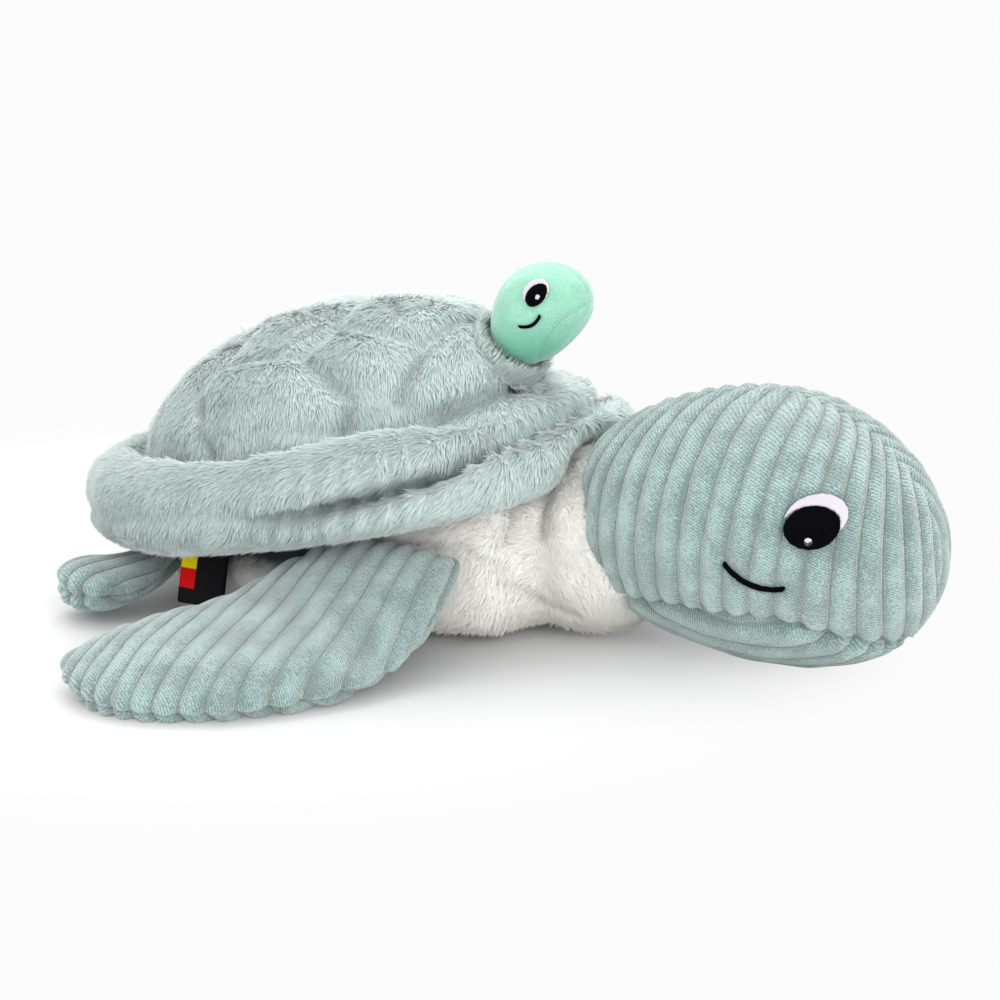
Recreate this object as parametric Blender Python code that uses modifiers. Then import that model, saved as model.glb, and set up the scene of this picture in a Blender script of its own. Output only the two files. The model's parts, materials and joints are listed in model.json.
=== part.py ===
"""Plush sea turtle that carries a baby turtle in a pocket of its shell.

Lengths are in metres. +X is the turtle's nose, +Y its left side and +Z up. The origin is the
middle of the flat of its belly, which rests on the floor.
"""

import math
from dataclasses import dataclass

import bmesh
import bpy
from mathutils import Matrix, Vector
from mathutils.geometry import intersect_point_line

# Cloth and clearances
GAP = 0.0003  # between pieces that touch
COVER = 0.0026  # plush cover, backing and pile root
BABY_COVER = 0.0016  # thinner velour of the baby
LINING = 0.0015  # pocket sack
SOFT_GAP = 0.0009  # between rounded forms, such as a cover and its stuffing
THREAD = 0.0011  # raised satin stitch
BABY_THREAD = 0.0008
FLAT = 0.0005  # how deep the floor flattens a form that rests on it
OVERRUN = 0.030  # how far a cutter runs past what it cuts

# Torso, from the rear end to the rim that holds the neck
TORSO_REAR = -0.112
TORSO_LENGTH = 0.198
TORSO_FRONT = TORSO_REAR + TORSO_LENGTH
TORSO_WIDTH = 0.122
TORSO_RISE = 0.078  # floor to the top of the rim
# Rows: place along the length, width, top, side seam, underside
TORSO_SHARES = (
    (0.00, 0.00, 0.34, 0.34, 0.34),
    (0.03, 0.40, 0.46, 0.34, 0.18),
    (0.14, 0.80, 0.58, 0.37, 0.02),
    (0.38, 1.00, 0.64, 0.53, 0.00),
    (0.66, 1.00, 0.74, 0.58, 0.00),
    (0.84, 0.92, 0.96, 0.57, 0.00),
    (0.96, 0.78, 1.00, 0.52, 0.01),
    (1.00, 0.00, 0.50, 0.50, 0.50),
)
TORSO_UNDER_POWER = 0.46  # squares the belly's section
# Side seam from rear to neck: place along the length, height above the floor
BODY_SEAM_SHARES = ((-0.10, 0.33), (0.10, 0.35), (0.42, 0.52), (0.86, 0.57), (1.10, 0.25))

# Neck, a ball of folded plush that the head turns on
NECK_RADIUS = 0.0385
NECK_OUT = 0.0085  # from the torso's rim to the middle of the ball
NECK_X = TORSO_FRONT + NECK_OUT
NECK_Z = 0.0390
NECK_PLAY = 0.0010
NECK_OPENING = 0.020  # radius of the neck cover's two sewn ends
NECK_TILT = math.radians(14)
NECK_ROLL = math.radians(5)  # keeps the ball's facets off the middle plane
HEAD_NOD = math.radians(5)  # how far the head lifts
HEAD_TURN = math.radians(10)  # to each side
HEAD_CLEAR = 0.0008  # between the head and the brim in every pose

# Head of the mother and of the baby
HEAD_LENGTH = 0.160
HEAD_WIDTH = 0.114
HEAD_HEIGHT = 0.1145
HEAD_LAP = 0.0085  # how far the head reaches back past the middle of the neck
HEAD_REAR = NECK_X - HEAD_LAP
HEAD_SIDES = 10
# Rows: place along the length, width, crown above the middle, chin below the middle
HEAD_SHARES = (
    (0.00, 0.00, 0.00, 0.00),
    (0.03, 0.40, 0.36, 0.44),
    (0.14, 0.72, 0.66, 0.74),
    (0.34, 0.96, 0.92, 0.93),
    (0.58, 1.02, 1.02, 1.02),
    (0.80, 0.90, 0.80, 0.98),
    (0.96, 0.48, 0.30, 0.64),
    (1.00, 0.00, -0.14, 0.14),
)
# Seam between side panel and chin gusset: place along the length, height
GUSSET_SEAM_SHARES = (
    (-0.20, 0.22), (0.15, 0.22), (0.40, 0.26), (0.68, 0.27), (0.84, 0.19), (0.96, 0.12), (1.20, 0.10)
)
# Embroidery, as places along the head's length and height
EYE_PLACE_SHARES = (0.762, 0.628)
PUPIL_SHIFT_SHARES = (-0.05, -0.10)
GLINT_SHIFT_SHARES = (-0.02, -0.32)
MOUTH_PLACE_SHARES = (0.622, 0.426)
MOUTH_SLOPE = math.radians(-19)
EYE_WIDTH = 0.0212
EYE_HEIGHT = 0.0222
PUPIL_WIDTH = 0.0192
PUPIL_HEIGHT = 0.0158
GLINT_WIDTH = 0.0030
MOUTH_LENGTH = 0.0250
MOUTH_SAG = 0.0040
MOUTH_LINE = 0.0020

# Shell frame, tipped up at the front
SHELL_PLACE_SHARE = 0.465  # along the torso from its rear
SHELL_X = TORSO_REAR + SHELL_PLACE_SHARE * TORSO_LENGTH
SHELL_Z = 0.0622
SHELL_TILT = math.radians(12.2)
DOME_FORWARD = 0.003  # the dome's middle ahead of the brim's
DOME_LENGTH = 0.194
DOME_WIDTH = 0.168
DOME_HEIGHT = 0.063
DOME_SKIRT = 0.010  # how far the dome reaches below the shell plane
DOME_PLAN_POWER = 0.80
DOME_RISE_POWER = 0.90
DOME_SIDES = 24
DOME_RINGS = 14
# Quilting of each half of the dome: valleys through places along its length and across its width
QUILT_SHARES = (
    ((-0.40, 0.00), (-0.34, 0.50), (0.12, 0.60), (0.12, 0.00)),
    ((0.12, 0.60), (0.40, 0.80), (0.40, 0.95)),
    ((0.12, 0.55), (0.36, 0.42), (0.62, 0.38)),
    ((-0.34, 0.50), (-0.42, 0.66), (-0.34, 0.88)),
    ((-0.40, 0.22), (-0.80, 0.24)),
)
QUILT_RISE_SHARES = (0.48, 0.62)  # heights between which the quilting sets in
QUILT_DEPTH = 0.0048
QUILT_REACH = 0.0105  # from the bottom of a valley to where it has mostly gone

# Brim, a stuffed roll round the dome
BRIM_REAR_REACH = 0.103  # from the shell's middle to the middle of the roll
BRIM_FRONT_REACH = 0.102
BRIM_LINE_WIDTH = 0.170
BRIM_WIDTH = 0.044
BRIM_THICK = 0.044
BRIM_FRONT_THICK = 0.029
BRIM_FRONT_DROP = 0.007  # how far the roll's front sags over the neck
BRIM_FRONT_POWER = 0.86  # squares the front of the oval
BRIM_SIDES = 28
BRIM_ROLL_SIDES = 8

# Pocket in the front of the dome
POCKET_TILT = math.radians(52)  # above the floor, towards the nose
POCKET_AHEAD = 0.0751  # of the shell's middle
POCKET_X = SHELL_X + POCKET_AHEAD
POCKET_Z = 0.1165
POCKET_DEPTH = 0.058
POCKET_WIDTH = 0.036
POCKET_THICK = 0.0285
POCKET_TAPER_SHARE = 0.82
POCKET_SHARES = ((-1, 0), (-0.985, 0.62), (-0.90, 0.95), (-0.50, 1), (0, 1))  # depth, fullness
BABY_PLAY = 0.0008

# Baby turtle in the pocket
BABY_HEAD_LENGTH = 0.049
BABY_HEAD_WIDTH = 0.040
BABY_HEAD_HEIGHT = 0.0395
BABY_HEAD_SIDES = 8
BABY_HEAD_OUT = 0.0205  # from the pocket's mouth to the middle of the head
BABY_EYE_WIDTH = 0.0105
BABY_EYE_HEIGHT = 0.0100
BABY_PUPIL_WIDTH = 0.0094
BABY_PUPIL_HEIGHT = 0.0074
BABY_GLINT_WIDTH = 0.0019
BABY_MOUTH_LENGTH = 0.0105
BABY_MOUTH_SAG = 0.0020
BABY_MOUTH_LINE = 0.0013
BABY_MOUTH_SLOPE = math.radians(-22)
BABY_EYE_PLACE_SHARES = (0.771, 0.545)
BABY_GLINT_SHIFT_SHARES = (0.02, -0.14)
BABY_MOUTH_PLACE_SHARES = (0.551, 0.352)
BABY_GUSSET_SEAM_SHARES = (
    (-0.20, 0.12), (0.15, 0.14), (0.40, 0.16), (0.68, 0.17), (0.84, 0.14), (0.96, 0.11), (1.20, 0.10)
)

# Front flippers, hinged on the side seam
FLIPPER_SIDES = 6
SHOULDER_BACK = 0.051  # from the torso's rim
SHOULDER_X = TORSO_FRONT - SHOULDER_BACK
SHOULDER_Y = 0.0608
SHOULDER_Z = 0.0455
ROOT_RADIUS = 0.0042
ROOT_START_SHARE = 0.45  # how far into the root roll its first section lies
ROOT_PLAY = 0.0010  # round the hinge roll in its fold
FRONT_SPAN = 0.134
FRONT_REACH = 0.130
FRONT_THICK = 0.024
# Rows: leading edge out and forward, trailing edge out and forward, their heights, then the
# thickness above and below the seam
FRONT_FLIPPER_SHARES = (
    (0.00, 0.30, 0.00, -0.30, 1.00, 1.00, 0.175, 0.175),
    (0.14, 0.32, 0.13, -0.38, 0.66, 0.78, 0.34, 0.24),
    (0.36, 0.27, 0.27, -0.48, 0.11, 0.54, 0.60, 0.34),
    (0.72, 0.10, 0.45, -0.63, 0.03, 0.32, 0.72, 0.26),
    (0.99, -0.30, 0.66, -0.79, 0.03, 0.19, 0.60, 0.22),
)
FRONT_TIP_SHARES = (0.93, -0.76, 0.10)

# Rear flippers, hinged on the body's rear corners
HIP_AHEAD = 0.028  # of the torso's rear
HIP_X = TORSO_REAR + HIP_AHEAD
HIP_Y = 0.0470
HIP_Z = 0.0215
HIP_TURN = math.radians(28)  # the hinge's heading from the fore and aft line
REAR_SPAN = 0.058
REAR_REACH = 0.050
REAR_THICK = 0.019
REAR_FLIPPER_SHARES = (
    (0.00, 0.28, 0.00, -0.28, 1.00, 1.00, 0.22, 0.22),
    (0.18, 0.36, 0.18, -0.36, 0.72, 0.78, 0.30, 0.34),
    (0.50, 0.50, 0.50, -0.48, 0.56, 0.70, 0.50, 0.46),
    (0.86, 0.40, 0.84, -0.40, 0.56, 0.72, 0.66, 0.56),
)
REAR_TIP_SHARES = (1.00, 0.00, 0.52)

# Woven label under the brim
LABEL_BACK = 0.038  # from the shell's middle
LABEL_X = SHELL_X - LABEL_BACK
LABEL_Y = 0.0600
LABEL_TOP = 0.0320
LABEL_WIDTH = 0.022
LABEL_DROP = 0.026
LABEL_THICK = 0.0014
LABEL_LEAN = math.radians(14)

NAME = "plush_turtle"
SIDES = {-1: "right", 1: "left"}  # the sign of Y on each side
LEAST_SHARE = 0.1  # what an inner form keeps of a section thinner than its cover
SEAM_SPREAD_SHARE = 1.3  # how far a seam sheet spreads past the blade's edges


def clear_scene():
    """Remove what the scene holds."""
    for item in list(bpy.data.objects):
        bpy.data.objects.remove(item, do_unlink=True)


def collection(name):
    group = bpy.data.collections.new(name)
    bpy.context.scene.collection.children.link(group)
    return group


def material(name, colour, roughness):
    """A cloth material with one colour."""
    made = bpy.data.materials.new(name)
    made.use_nodes = True
    shader = made.node_tree.nodes["Principled BSDF"]
    shader.inputs["Base Color"].default_value = (*colour, 1)
    shader.inputs["Roughness"].default_value = roughness
    shader.inputs["Metallic"].default_value = 0
    made.diffuse_color = (*colour, 1)
    return made


def place(name, mesh, frame, group):
    """An object that holds a copy of a mesh in a frame."""
    item = bpy.data.objects.new(name, mesh.copy())
    item.data.name = name
    item.matrix_world = frame
    group.objects.link(item)
    return item


def finish_mesh(shape, name):
    shape.normal_update()
    bmesh.ops.recalc_face_normals(shape, faces=shape.faces)
    mesh = bpy.data.meshes.new(name)
    shape.to_mesh(mesh)
    shape.free()
    return mesh


def ring_form(name, stations, sides, under_power=1):
    """A sphere's cage whose rings are moved to stations of (centre, across, up, down).

    The rings stand outside their stations, so that the rounded form has the stations' sizes.
    """
    shape = bmesh.new()
    steps = len(stations) - 1
    bmesh.ops.create_uvsphere(shape, u_segments=sides, v_segments=steps, radius=1)
    outside = 1 / math.cos(math.pi / sides)
    for vert in shape.verts:
        polar = math.acos(max(-1, min(1, vert.co.z)))
        centre, across, up, down = stations[round(polar / math.pi * steps)]
        angle = math.atan2(vert.co.y, vert.co.x)
        beside, beyond = math.cos(angle), math.sin(angle)
        power = 1 if beyond > 0 else under_power
        lift = up if beyond > 0 else down
        aside = math.copysign(abs(beside) ** power, beside)
        vert.co = centre + (across * aside + lift * abs(beyond) ** power) * outside
    return finish_mesh(shape, name)


def inset(stations, depth):
    """The stations of a form that lies depth inside, or outside where depth is negative."""
    first, last = stations[0][0], stations[-1][0]
    middle = (first + last) / 2
    shorter = 1 - 2 * depth / (last - first).length
    return [
        (middle + (centre - middle) * shorter, *(drawn_in(reach, depth) for reach in reaches))
        for centre, *reaches in stations
    ]


def drawn_in(reach, depth):
    """A vector made shorter by depth."""
    return reach * max(LEAST_SHARE, 1 - depth / reach.length) if reach.length else reach


def ball_mesh(name, radius, sides=20, rings=10):
    shape = bmesh.new()
    bmesh.ops.create_uvsphere(shape, u_segments=sides, v_segments=rings, radius=radius)
    return finish_mesh(shape, name)


def rod_mesh(name, radius, length, sides=16):
    """A rod along Z with its middle at the origin."""
    shape = bmesh.new()
    bmesh.ops.create_cone(
        shape, cap_ends=True, segments=sides, radius1=radius, radius2=radius, depth=length
    )
    return finish_mesh(shape, name)


def box_mesh(name, low, high):
    """A box between two corners."""
    shape = bmesh.new()
    bmesh.ops.create_cube(shape, size=1)
    low, high = Vector(low), Vector(high)
    for vert in shape.verts:
        shares = vert.co + Vector((0.5, 0.5, 0.5))
        vert.co = Vector(low[i] + (high[i] - low[i]) * shares[i] for i in range(3))
    return finish_mesh(shape, name)


def outline_mesh(name, outline, near, far):
    """A prism across Y, from an outline of (x, z) points."""
    curve = bpy.data.curves.new(name, "CURVE")
    curve.dimensions = "2D"
    curve.fill_mode = "BOTH"
    curve.extrude = (far - near) / 2
    spline = curve.splines.new("POLY")
    spline.points.add(len(outline) - 1)
    for point, (x, z) in zip(spline.points, outline):
        point.co = (x, z, 0, 1)
    spline.use_cyclic_u = True
    holder = bpy.data.objects.new(name, curve)
    bpy.context.scene.collection.objects.link(holder)
    bpy.context.view_layer.update()
    evaluated = holder.evaluated_get(bpy.context.evaluated_depsgraph_get())
    mesh = bpy.data.meshes.new_from_object(evaluated)
    bpy.data.objects.remove(holder, do_unlink=True)
    bpy.data.curves.remove(curve)
    mesh.transform(Matrix.Translation((0, (near + far) / 2, 0)) @ Matrix.Rotation(math.pi / 2, 4, "X"))
    shape = bmesh.new()
    shape.from_mesh(mesh)
    bmesh.ops.remove_doubles(shape, verts=shape.verts, dist=GAP / 100)
    bpy.data.meshes.remove(mesh)
    return finish_mesh(shape, name)


def oval(centre, width, height, points=16):
    """Points round an oval in (x, z)."""
    turns = [2 * math.pi * i / points for i in range(points)]
    return [
        (centre[0] + width / 2 * math.cos(turn), centre[1] + height / 2 * math.sin(turn))
        for turn in turns
    ]


def smile(centre, length, sag, line, slope, points=7):
    """A curved band in (x, z) that hangs in its middle and slopes down towards the nose."""
    steps = [2 * i / (points - 1) - 1 for i in range(points)]
    upper = [(s * length / 2, sag * s * s + line / 2) for s in steps]
    lower = [(s * length / 2, sag * s * s - line / 2) for s in steps]
    cosine, sine = math.cos(slope), math.sin(slope)
    return [
        (centre[0] + x * cosine - z * sine, centre[1] + x * sine + z * cosine)
        for x, z in upper + lower[::-1]
    ]


def smooth(item, levels=1):
    """Round a coarse cage."""
    step = item.modifiers.new("Rounding", "SUBSURF")
    step.levels = levels
    step.render_levels = levels
    return item


def grow(item, amount):
    """Move the surface out along its normals, or in where the amount is negative."""
    step = item.modifiers.new("Offset", "DISPLACE")
    step.strength = amount
    step.mid_level = 0
    return item


def trim(item, operation, *cutters):
    for cutter in cutters:
        step = item.modifiers.new(cutter.name, "BOOLEAN")
        step.operation = operation
        step.solver = "EXACT"
        step.object = cutter
    return item


def remove(item, *cutters):
    return trim(item, "DIFFERENCE", *cutters)


def keep(item, *cutters):
    return trim(item, "INTERSECT", *cutters)


class Workshop:
    """The two collections, and the ways to put a shape into them."""

    def __init__(self):
        self.parts = collection(NAME)
        self.cutters = collection("cutters")

    def part(self, name, mesh, frame, cloth, pivot=None):
        """A piece of cloth, with its origin where it pivots if it does."""
        item = place(name, mesh, frame, self.parts)
        if pivot:
            item.data.transform(pivot.inverted() @ frame)
            item.matrix_world = pivot
        item.data.materials.clear()
        item.data.materials.append(material(name, *cloth))
        item.data.shade_smooth()
        return item

    def cutter(self, name, mesh, frame=Matrix()):
        item = place("cut_" + name, mesh, frame, self.cutters)
        item.hide_render = True
        item.display_type = "WIRE"
        return item

    def soft_cutter(self, name, cage, frame=Matrix()):
        """A rounded form that cuts its neighbours."""
        return smooth(self.cutter(name, cage, frame))


# Cloth colours and roughness
TEAL_CORD = ((0.36, 0.52, 0.50), 0.9)
TEAL_FUR = ((0.42, 0.56, 0.54), 0.95)
WHITE_PLUSH = ((0.84, 0.82, 0.77), 0.95)
MINT_VELOUR = ((0.24, 0.66, 0.48), 0.85)
FILLING = ((0.93, 0.93, 0.91), 1.0)
BLACK_THREAD = ((0.012, 0.012, 0.014), 0.45)
WHITE_THREAD = ((0.88, 0.88, 0.90), 0.45)
LABEL_WEAVE = ((0.02, 0.02, 0.022), 0.7)


def shell_frame():
    return Matrix.Translation((SHELL_X, 0, SHELL_Z)) @ Matrix.Rotation(-SHELL_TILT, 4, "Y")


def neck_frame():
    """At the middle of the neck ball, with Z along the neck towards the head."""
    turn = Matrix.Rotation(math.pi / 2 - NECK_TILT, 4, "Y") @ Matrix.Rotation(NECK_ROLL, 4, "Z")
    return Matrix.Translation((NECK_X, 0, NECK_Z)) @ turn


def pocket_frame():
    """At the pocket's mouth, with X out of the pocket and Z towards its upper lip."""
    return Matrix.Translation((POCKET_X, 0, POCKET_Z)) @ Matrix.Rotation(-POCKET_TILT, 4, "Y")


def torso_cage(depth=0):
    """The torso from its rear to the neck rim, or the form that lies depth inside it."""
    stations = []
    for along, width, top, seam, under in TORSO_SHARES:
        centre = Vector((TORSO_REAR + along * TORSO_LENGTH, 0, seam * TORSO_RISE))
        across = Vector((0, width * TORSO_WIDTH / 2, 0))
        up = Vector((0, 0, (top - seam) * TORSO_RISE))
        down = Vector((0, 0, (under - seam) * TORSO_RISE - FLAT))
        stations.append((centre, across, up, down))
    return ring_form("torso", inset(stations, depth), 10, TORSO_UNDER_POWER)


def head_cage(length, width, height, depth=0, sides=HEAD_SIDES):
    """A head from neck to nose, its middle at the origin, or the form that lies depth inside."""
    stations = []
    for along, wide, crown, chin in HEAD_SHARES:
        centre = Vector(((along - 1 / 2) * length, 0, (crown - chin) * height / 4))
        across = Vector((0, wide * width / 2, 0))
        reach = (crown + chin) * height / 4
        stations.append((centre, across, Vector((0, 0, reach)), Vector((0, 0, -reach))))
    return ring_form("head", inset(stations, depth), sides)


def dome_mesh(depth=0):
    """A squared-off cap, or the one that lies depth inside it, whose lower half is cut away."""
    shape = bmesh.new()
    bmesh.ops.create_uvsphere(shape, u_segments=DOME_SIDES, v_segments=DOME_RINGS, radius=1)
    bmesh.ops.rotate(shape, verts=shape.verts, matrix=Matrix.Rotation(math.pi / DOME_SIDES, 3, "Z"))
    half_size = Vector((DOME_LENGTH / 2, DOME_WIDTH / 2, DOME_HEIGHT))
    for vert in shape.verts:
        plan = math.hypot(vert.co.x, vert.co.y)
        spread = plan ** DOME_PLAN_POWER / plan if plan > GAP else 1
        rise = math.copysign(abs(vert.co.z) ** DOME_RISE_POWER, vert.co.z)
        shares = Vector((vert.co.x * spread, vert.co.y * spread, rise))
        outward = Vector(share / size for share, size in zip(shares, half_size)).normalized()
        vert.co = Vector(share * (size - depth) for share, size in zip(shares, half_size))
        vert.co += Vector((DOME_FORWARD, 0, 0)) - outward * quilting(shares, half_size)
    bmesh.ops.triangulate(shape, faces=shape.faces, quad_method="FIXED")
    return finish_mesh(shape, "dome")


def quilting(shares, half_size):
    """How deep the quilting draws in a place on the dome, given as shares of its half size."""
    low, high = QUILT_RISE_SHARES
    set_in = min(1, max(0, (shares.z - low) / (high - low)))
    spot = Vector((shares.x * half_size.x, abs(shares.y) * half_size.y))
    away = DOME_LENGTH
    for line in QUILT_SHARES:
        corners = [Vector((along * half_size.x, across * half_size.y)) for along, across in line]
        for start, end in zip(corners, corners[1:]):
            share = min(1, max(0, intersect_point_line(spot, start, end)[1]))
            away = min(away, (start.lerp(end, share) - spot).length)
    return QUILT_DEPTH * set_in * math.exp(-((away / QUILT_REACH) ** 2))


def brim_mesh(depth=0):
    """A torus drawn out to the brim's oval line, thinner at the front, or one depth inside."""
    bpy.ops.mesh.primitive_torus_add(
        major_segments=BRIM_SIDES, minor_segments=BRIM_ROLL_SIDES, major_radius=1, minor_radius=0.5
    )
    holder = bpy.context.object
    mesh = holder.data
    for vert in mesh.vertices:
        turn = math.atan2(vert.co.y, vert.co.x) + math.pi / BRIM_SIDES
        out = 2 * (math.hypot(vert.co.x, vert.co.y) - 1)
        lift = 2 * vert.co.z
        ahead, beside = math.cos(turn), math.sin(turn)
        reach = BRIM_FRONT_REACH if ahead > 0 else BRIM_REAR_REACH
        power = BRIM_FRONT_POWER if ahead > 0 else 1
        line = Vector((
            math.copysign(reach * abs(ahead) ** power, ahead),
            math.copysign(BRIM_LINE_WIDTH / 2 * abs(beside) ** power, beside),
            0,
        ))
        square = Vector((ahead / reach, beside / BRIM_LINE_WIDTH * 2, 0)).normalized()
        front_share = ((1 + ahead) / 2) ** 2
        thick = BRIM_THICK + (BRIM_FRONT_THICK - BRIM_THICK) * front_share
        vert.co = line + square * out * (BRIM_WIDTH / 2 - depth)
        vert.co.z += lift * (thick / 2 - depth) - BRIM_FRONT_DROP * front_share
    made = mesh.copy()
    bpy.data.objects.remove(holder, do_unlink=True)
    return made


def pocket_cage(extra, above):
    """The pocket's space with X out of its mouth, wider by extra and going on above the mouth."""
    stations = []
    for depth, fullness in POCKET_SHARES:
        taper = 1 + (1 - POCKET_TAPER_SHARE) * depth
        x = depth * (POCKET_DEPTH + extra)
        across = Vector((0, fullness * (POCKET_WIDTH / 2 * taper + extra), 0))
        up = Vector((0, 0, fullness * (POCKET_THICK / 2 * taper + extra)))
        stations.append((Vector((x, 0, 0)), across, up, -up))
    end = Vector((above, 0, 0))
    if above:
        stations.append((end, *stations[-1][1:]))
    stations.append((end, Vector(), Vector(), Vector()))
    return ring_form("pocket", stations, 14)


def flipper_stations(side, shares, tip, hinge, heading, span, reach, thick):
    """Sections of a flipper blade from its hinge to its tip."""
    out_way = Vector((-math.sin(heading), math.cos(heading), 0))
    fore_way = Vector((math.cos(heading), math.sin(heading), 0))

    def spot(out, fore, height):
        spread = hinge + out_way * out * span + fore_way * fore * reach
        return Vector((spread.x, side * spread.y, height * hinge.z))

    edges = [(spot(a, b, e), spot(c, d, f), g, h) for a, b, c, d, e, f, g, h in shares]
    end = spot(*tip)
    middles = [(lead + trail) / 2 for lead, trail, *_ in edges] + [end]
    stations = []
    for i, (lead, trail, above, below) in enumerate(edges):
        across = (lead - trail) / 2
        along = middles[i + 1] - middles[max(i - 1, 0)]
        normal = across.cross(along).normalized()
        if normal.z < 0:
            normal = -normal
        stations.append((middles[i], across, normal * above * thick, normal * -below * thick))
    first = stations[0]
    inward = Vector((-out_way.x, -side * out_way.y, 0)) * ROOT_RADIUS
    start = (first[0] + inward * ROOT_START_SHARE, *first[1:])
    pole = (first[0] + inward, Vector(), Vector(), Vector())
    return [pole, start, *stations, (end, Vector(), Vector(), Vector())]


def seam_sheet(stations, depth):
    """A solid just under the blade's middle surface, which parts its upper and under panels."""
    widened = []
    for centre, across, up, down in stations[1:-1]:
        below = down.normalized()
        widened.append((centre + below * GAP, across * SEAM_SPREAD_SHARE, up * 0, below * depth))
    first, last = widened[0], widened[-1]
    back = (first[0] - widened[1][0]).normalized() * OVERRUN
    ahead = (stations[-1][0] - last[0]).normalized() * OVERRUN
    start = (first[0] + back, *first[1:])
    end = (last[0] + ahead, *last[1:])
    nil = (Vector(), Vector(), Vector())
    rows = [(start[0] + start[3] / 2, *nil), start, *widened, end, (end[0] + end[3] / 2, *nil)]
    return ring_form("seam", rows, 12)


def make_flipper(shop, name, side, stations, hinge, floor):
    """One flipper: an upper panel, an under panel and stuffing. The result cuts its socket."""
    side_name = SIDES[side]
    cage = ring_form(name, stations, FLIPPER_SIDES)
    root_across, root_up = stations[2][1:3]
    under_sheet = seam_sheet(stations, stations[3][2].length * 4)
    hollow = ring_form(name, inset(stations, COVER), FLIPPER_SIDES)
    inner = shop.soft_cutter(f"{name}_inner_{side_name}", hollow)
    sheet = shop.cutter(f"{name}_under_{side_name}", under_sheet)
    sheet_gap = grow(shop.cutter(f"{name}_under_gap_{side_name}", under_sheet), SOFT_GAP)
    upper = smooth(shop.part(f"{name}_upper_panel_{side_name}", cage, Matrix(), TEAL_CORD, hinge))
    remove(upper, inner, sheet_gap, floor)
    under = smooth(shop.part(f"{name}_under_panel_{side_name}", cage, Matrix(), TEAL_CORD, hinge))
    keep(under, sheet)
    remove(under, inner, floor)
    filled = ring_form(name, inset(stations, COVER + SOFT_GAP), FLIPPER_SIDES)
    smooth(shop.part(f"{name}_stuffing_{side_name}", filled, Matrix(), FILLING, hinge))
    socket = rod_mesh("socket", root_up.length + ROOT_PLAY, 2 * (root_across + root_up * 2).length)
    along_x = Matrix.Rotation(math.pi / 2, 4, "Y")
    return shop.cutter(f"{name}_socket_{side_name}", socket, hinge @ along_x)


@dataclass
class HeadPlan:
    """What sets one head apart: its sizes, its place, its cloth and its embroidery."""

    prefix: str
    size: tuple  # length, width and height
    eye: tuple  # white width and height, pupil width and height, glint width
    mouth: tuple  # length, sag, line width and slope
    eye_place_shares: tuple
    glint_shift_shares: tuple
    mouth_place_shares: tuple
    gusset_seam_shares: tuple
    cover: float
    thread: float
    frame: Matrix
    pivot: Matrix
    cloth: tuple

    sides: int

    def cage(self, depth=0):
        """The head's form, or the one that lies depth inside it."""
        return head_cage(*self.size, depth, self.sides)

    def place_of(self, shares):
        """A place on the head's side, as (x, z) from its middle."""
        return [(shares[0] - 1 / 2) * self.size[0], (shares[1] - 1 / 2) * self.size[2]]


def make_head(shop, plan, *neck_cutters):
    """A head: two side panels, a chin gusset, stuffing and the embroidery on each side."""
    prefix, frame = plan.prefix, plan.frame
    length, width, height = plan.size
    cage = plan.cage()
    seam = [plan.place_of(shares) for shares in plan.gusset_seam_shares]
    closed = [(seam[-1][0], -height), (seam[0][0], -height)]
    raised = [(x, z + GAP) for x, z in seam]
    chin = shop.cutter(prefix + "chin", outline_mesh("chin", seam + closed, -width, width), frame)
    chin_gap = shop.cutter(
        prefix + "chin_gap", outline_mesh("chin", raised + closed, -width, width), frame
    )
    inner = shop.soft_cutter(prefix + "head_inner", plan.cage(plan.cover), frame)
    for side, side_name in SIDES.items():
        low, high = sorted((-side * width, side * GAP / 2))
        half = box_mesh("half", (-length, low, -height), (length, high, height))
        far_half = shop.cutter(f"{prefix}beyond_{side_name}", half, frame)
        panel = shop.part(f"{prefix}head_panel_{side_name}", cage, frame, plan.cloth, plan.pivot)
        remove(smooth(panel), inner, chin_gap, far_half, *neck_cutters)
        make_face(shop, plan, side)
    gusset = smooth(shop.part(prefix + "chin_gusset", cage, frame, plan.cloth, plan.pivot))
    remove(gusset, *neck_cutters)
    keep(gusset, chin)
    remove(gusset, inner)
    filled = plan.cage(plan.cover + SOFT_GAP)
    stuffing = smooth(shop.part(prefix + "head_stuffing", filled, frame, FILLING, plan.pivot))
    remove(stuffing, *neck_cutters)


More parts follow.
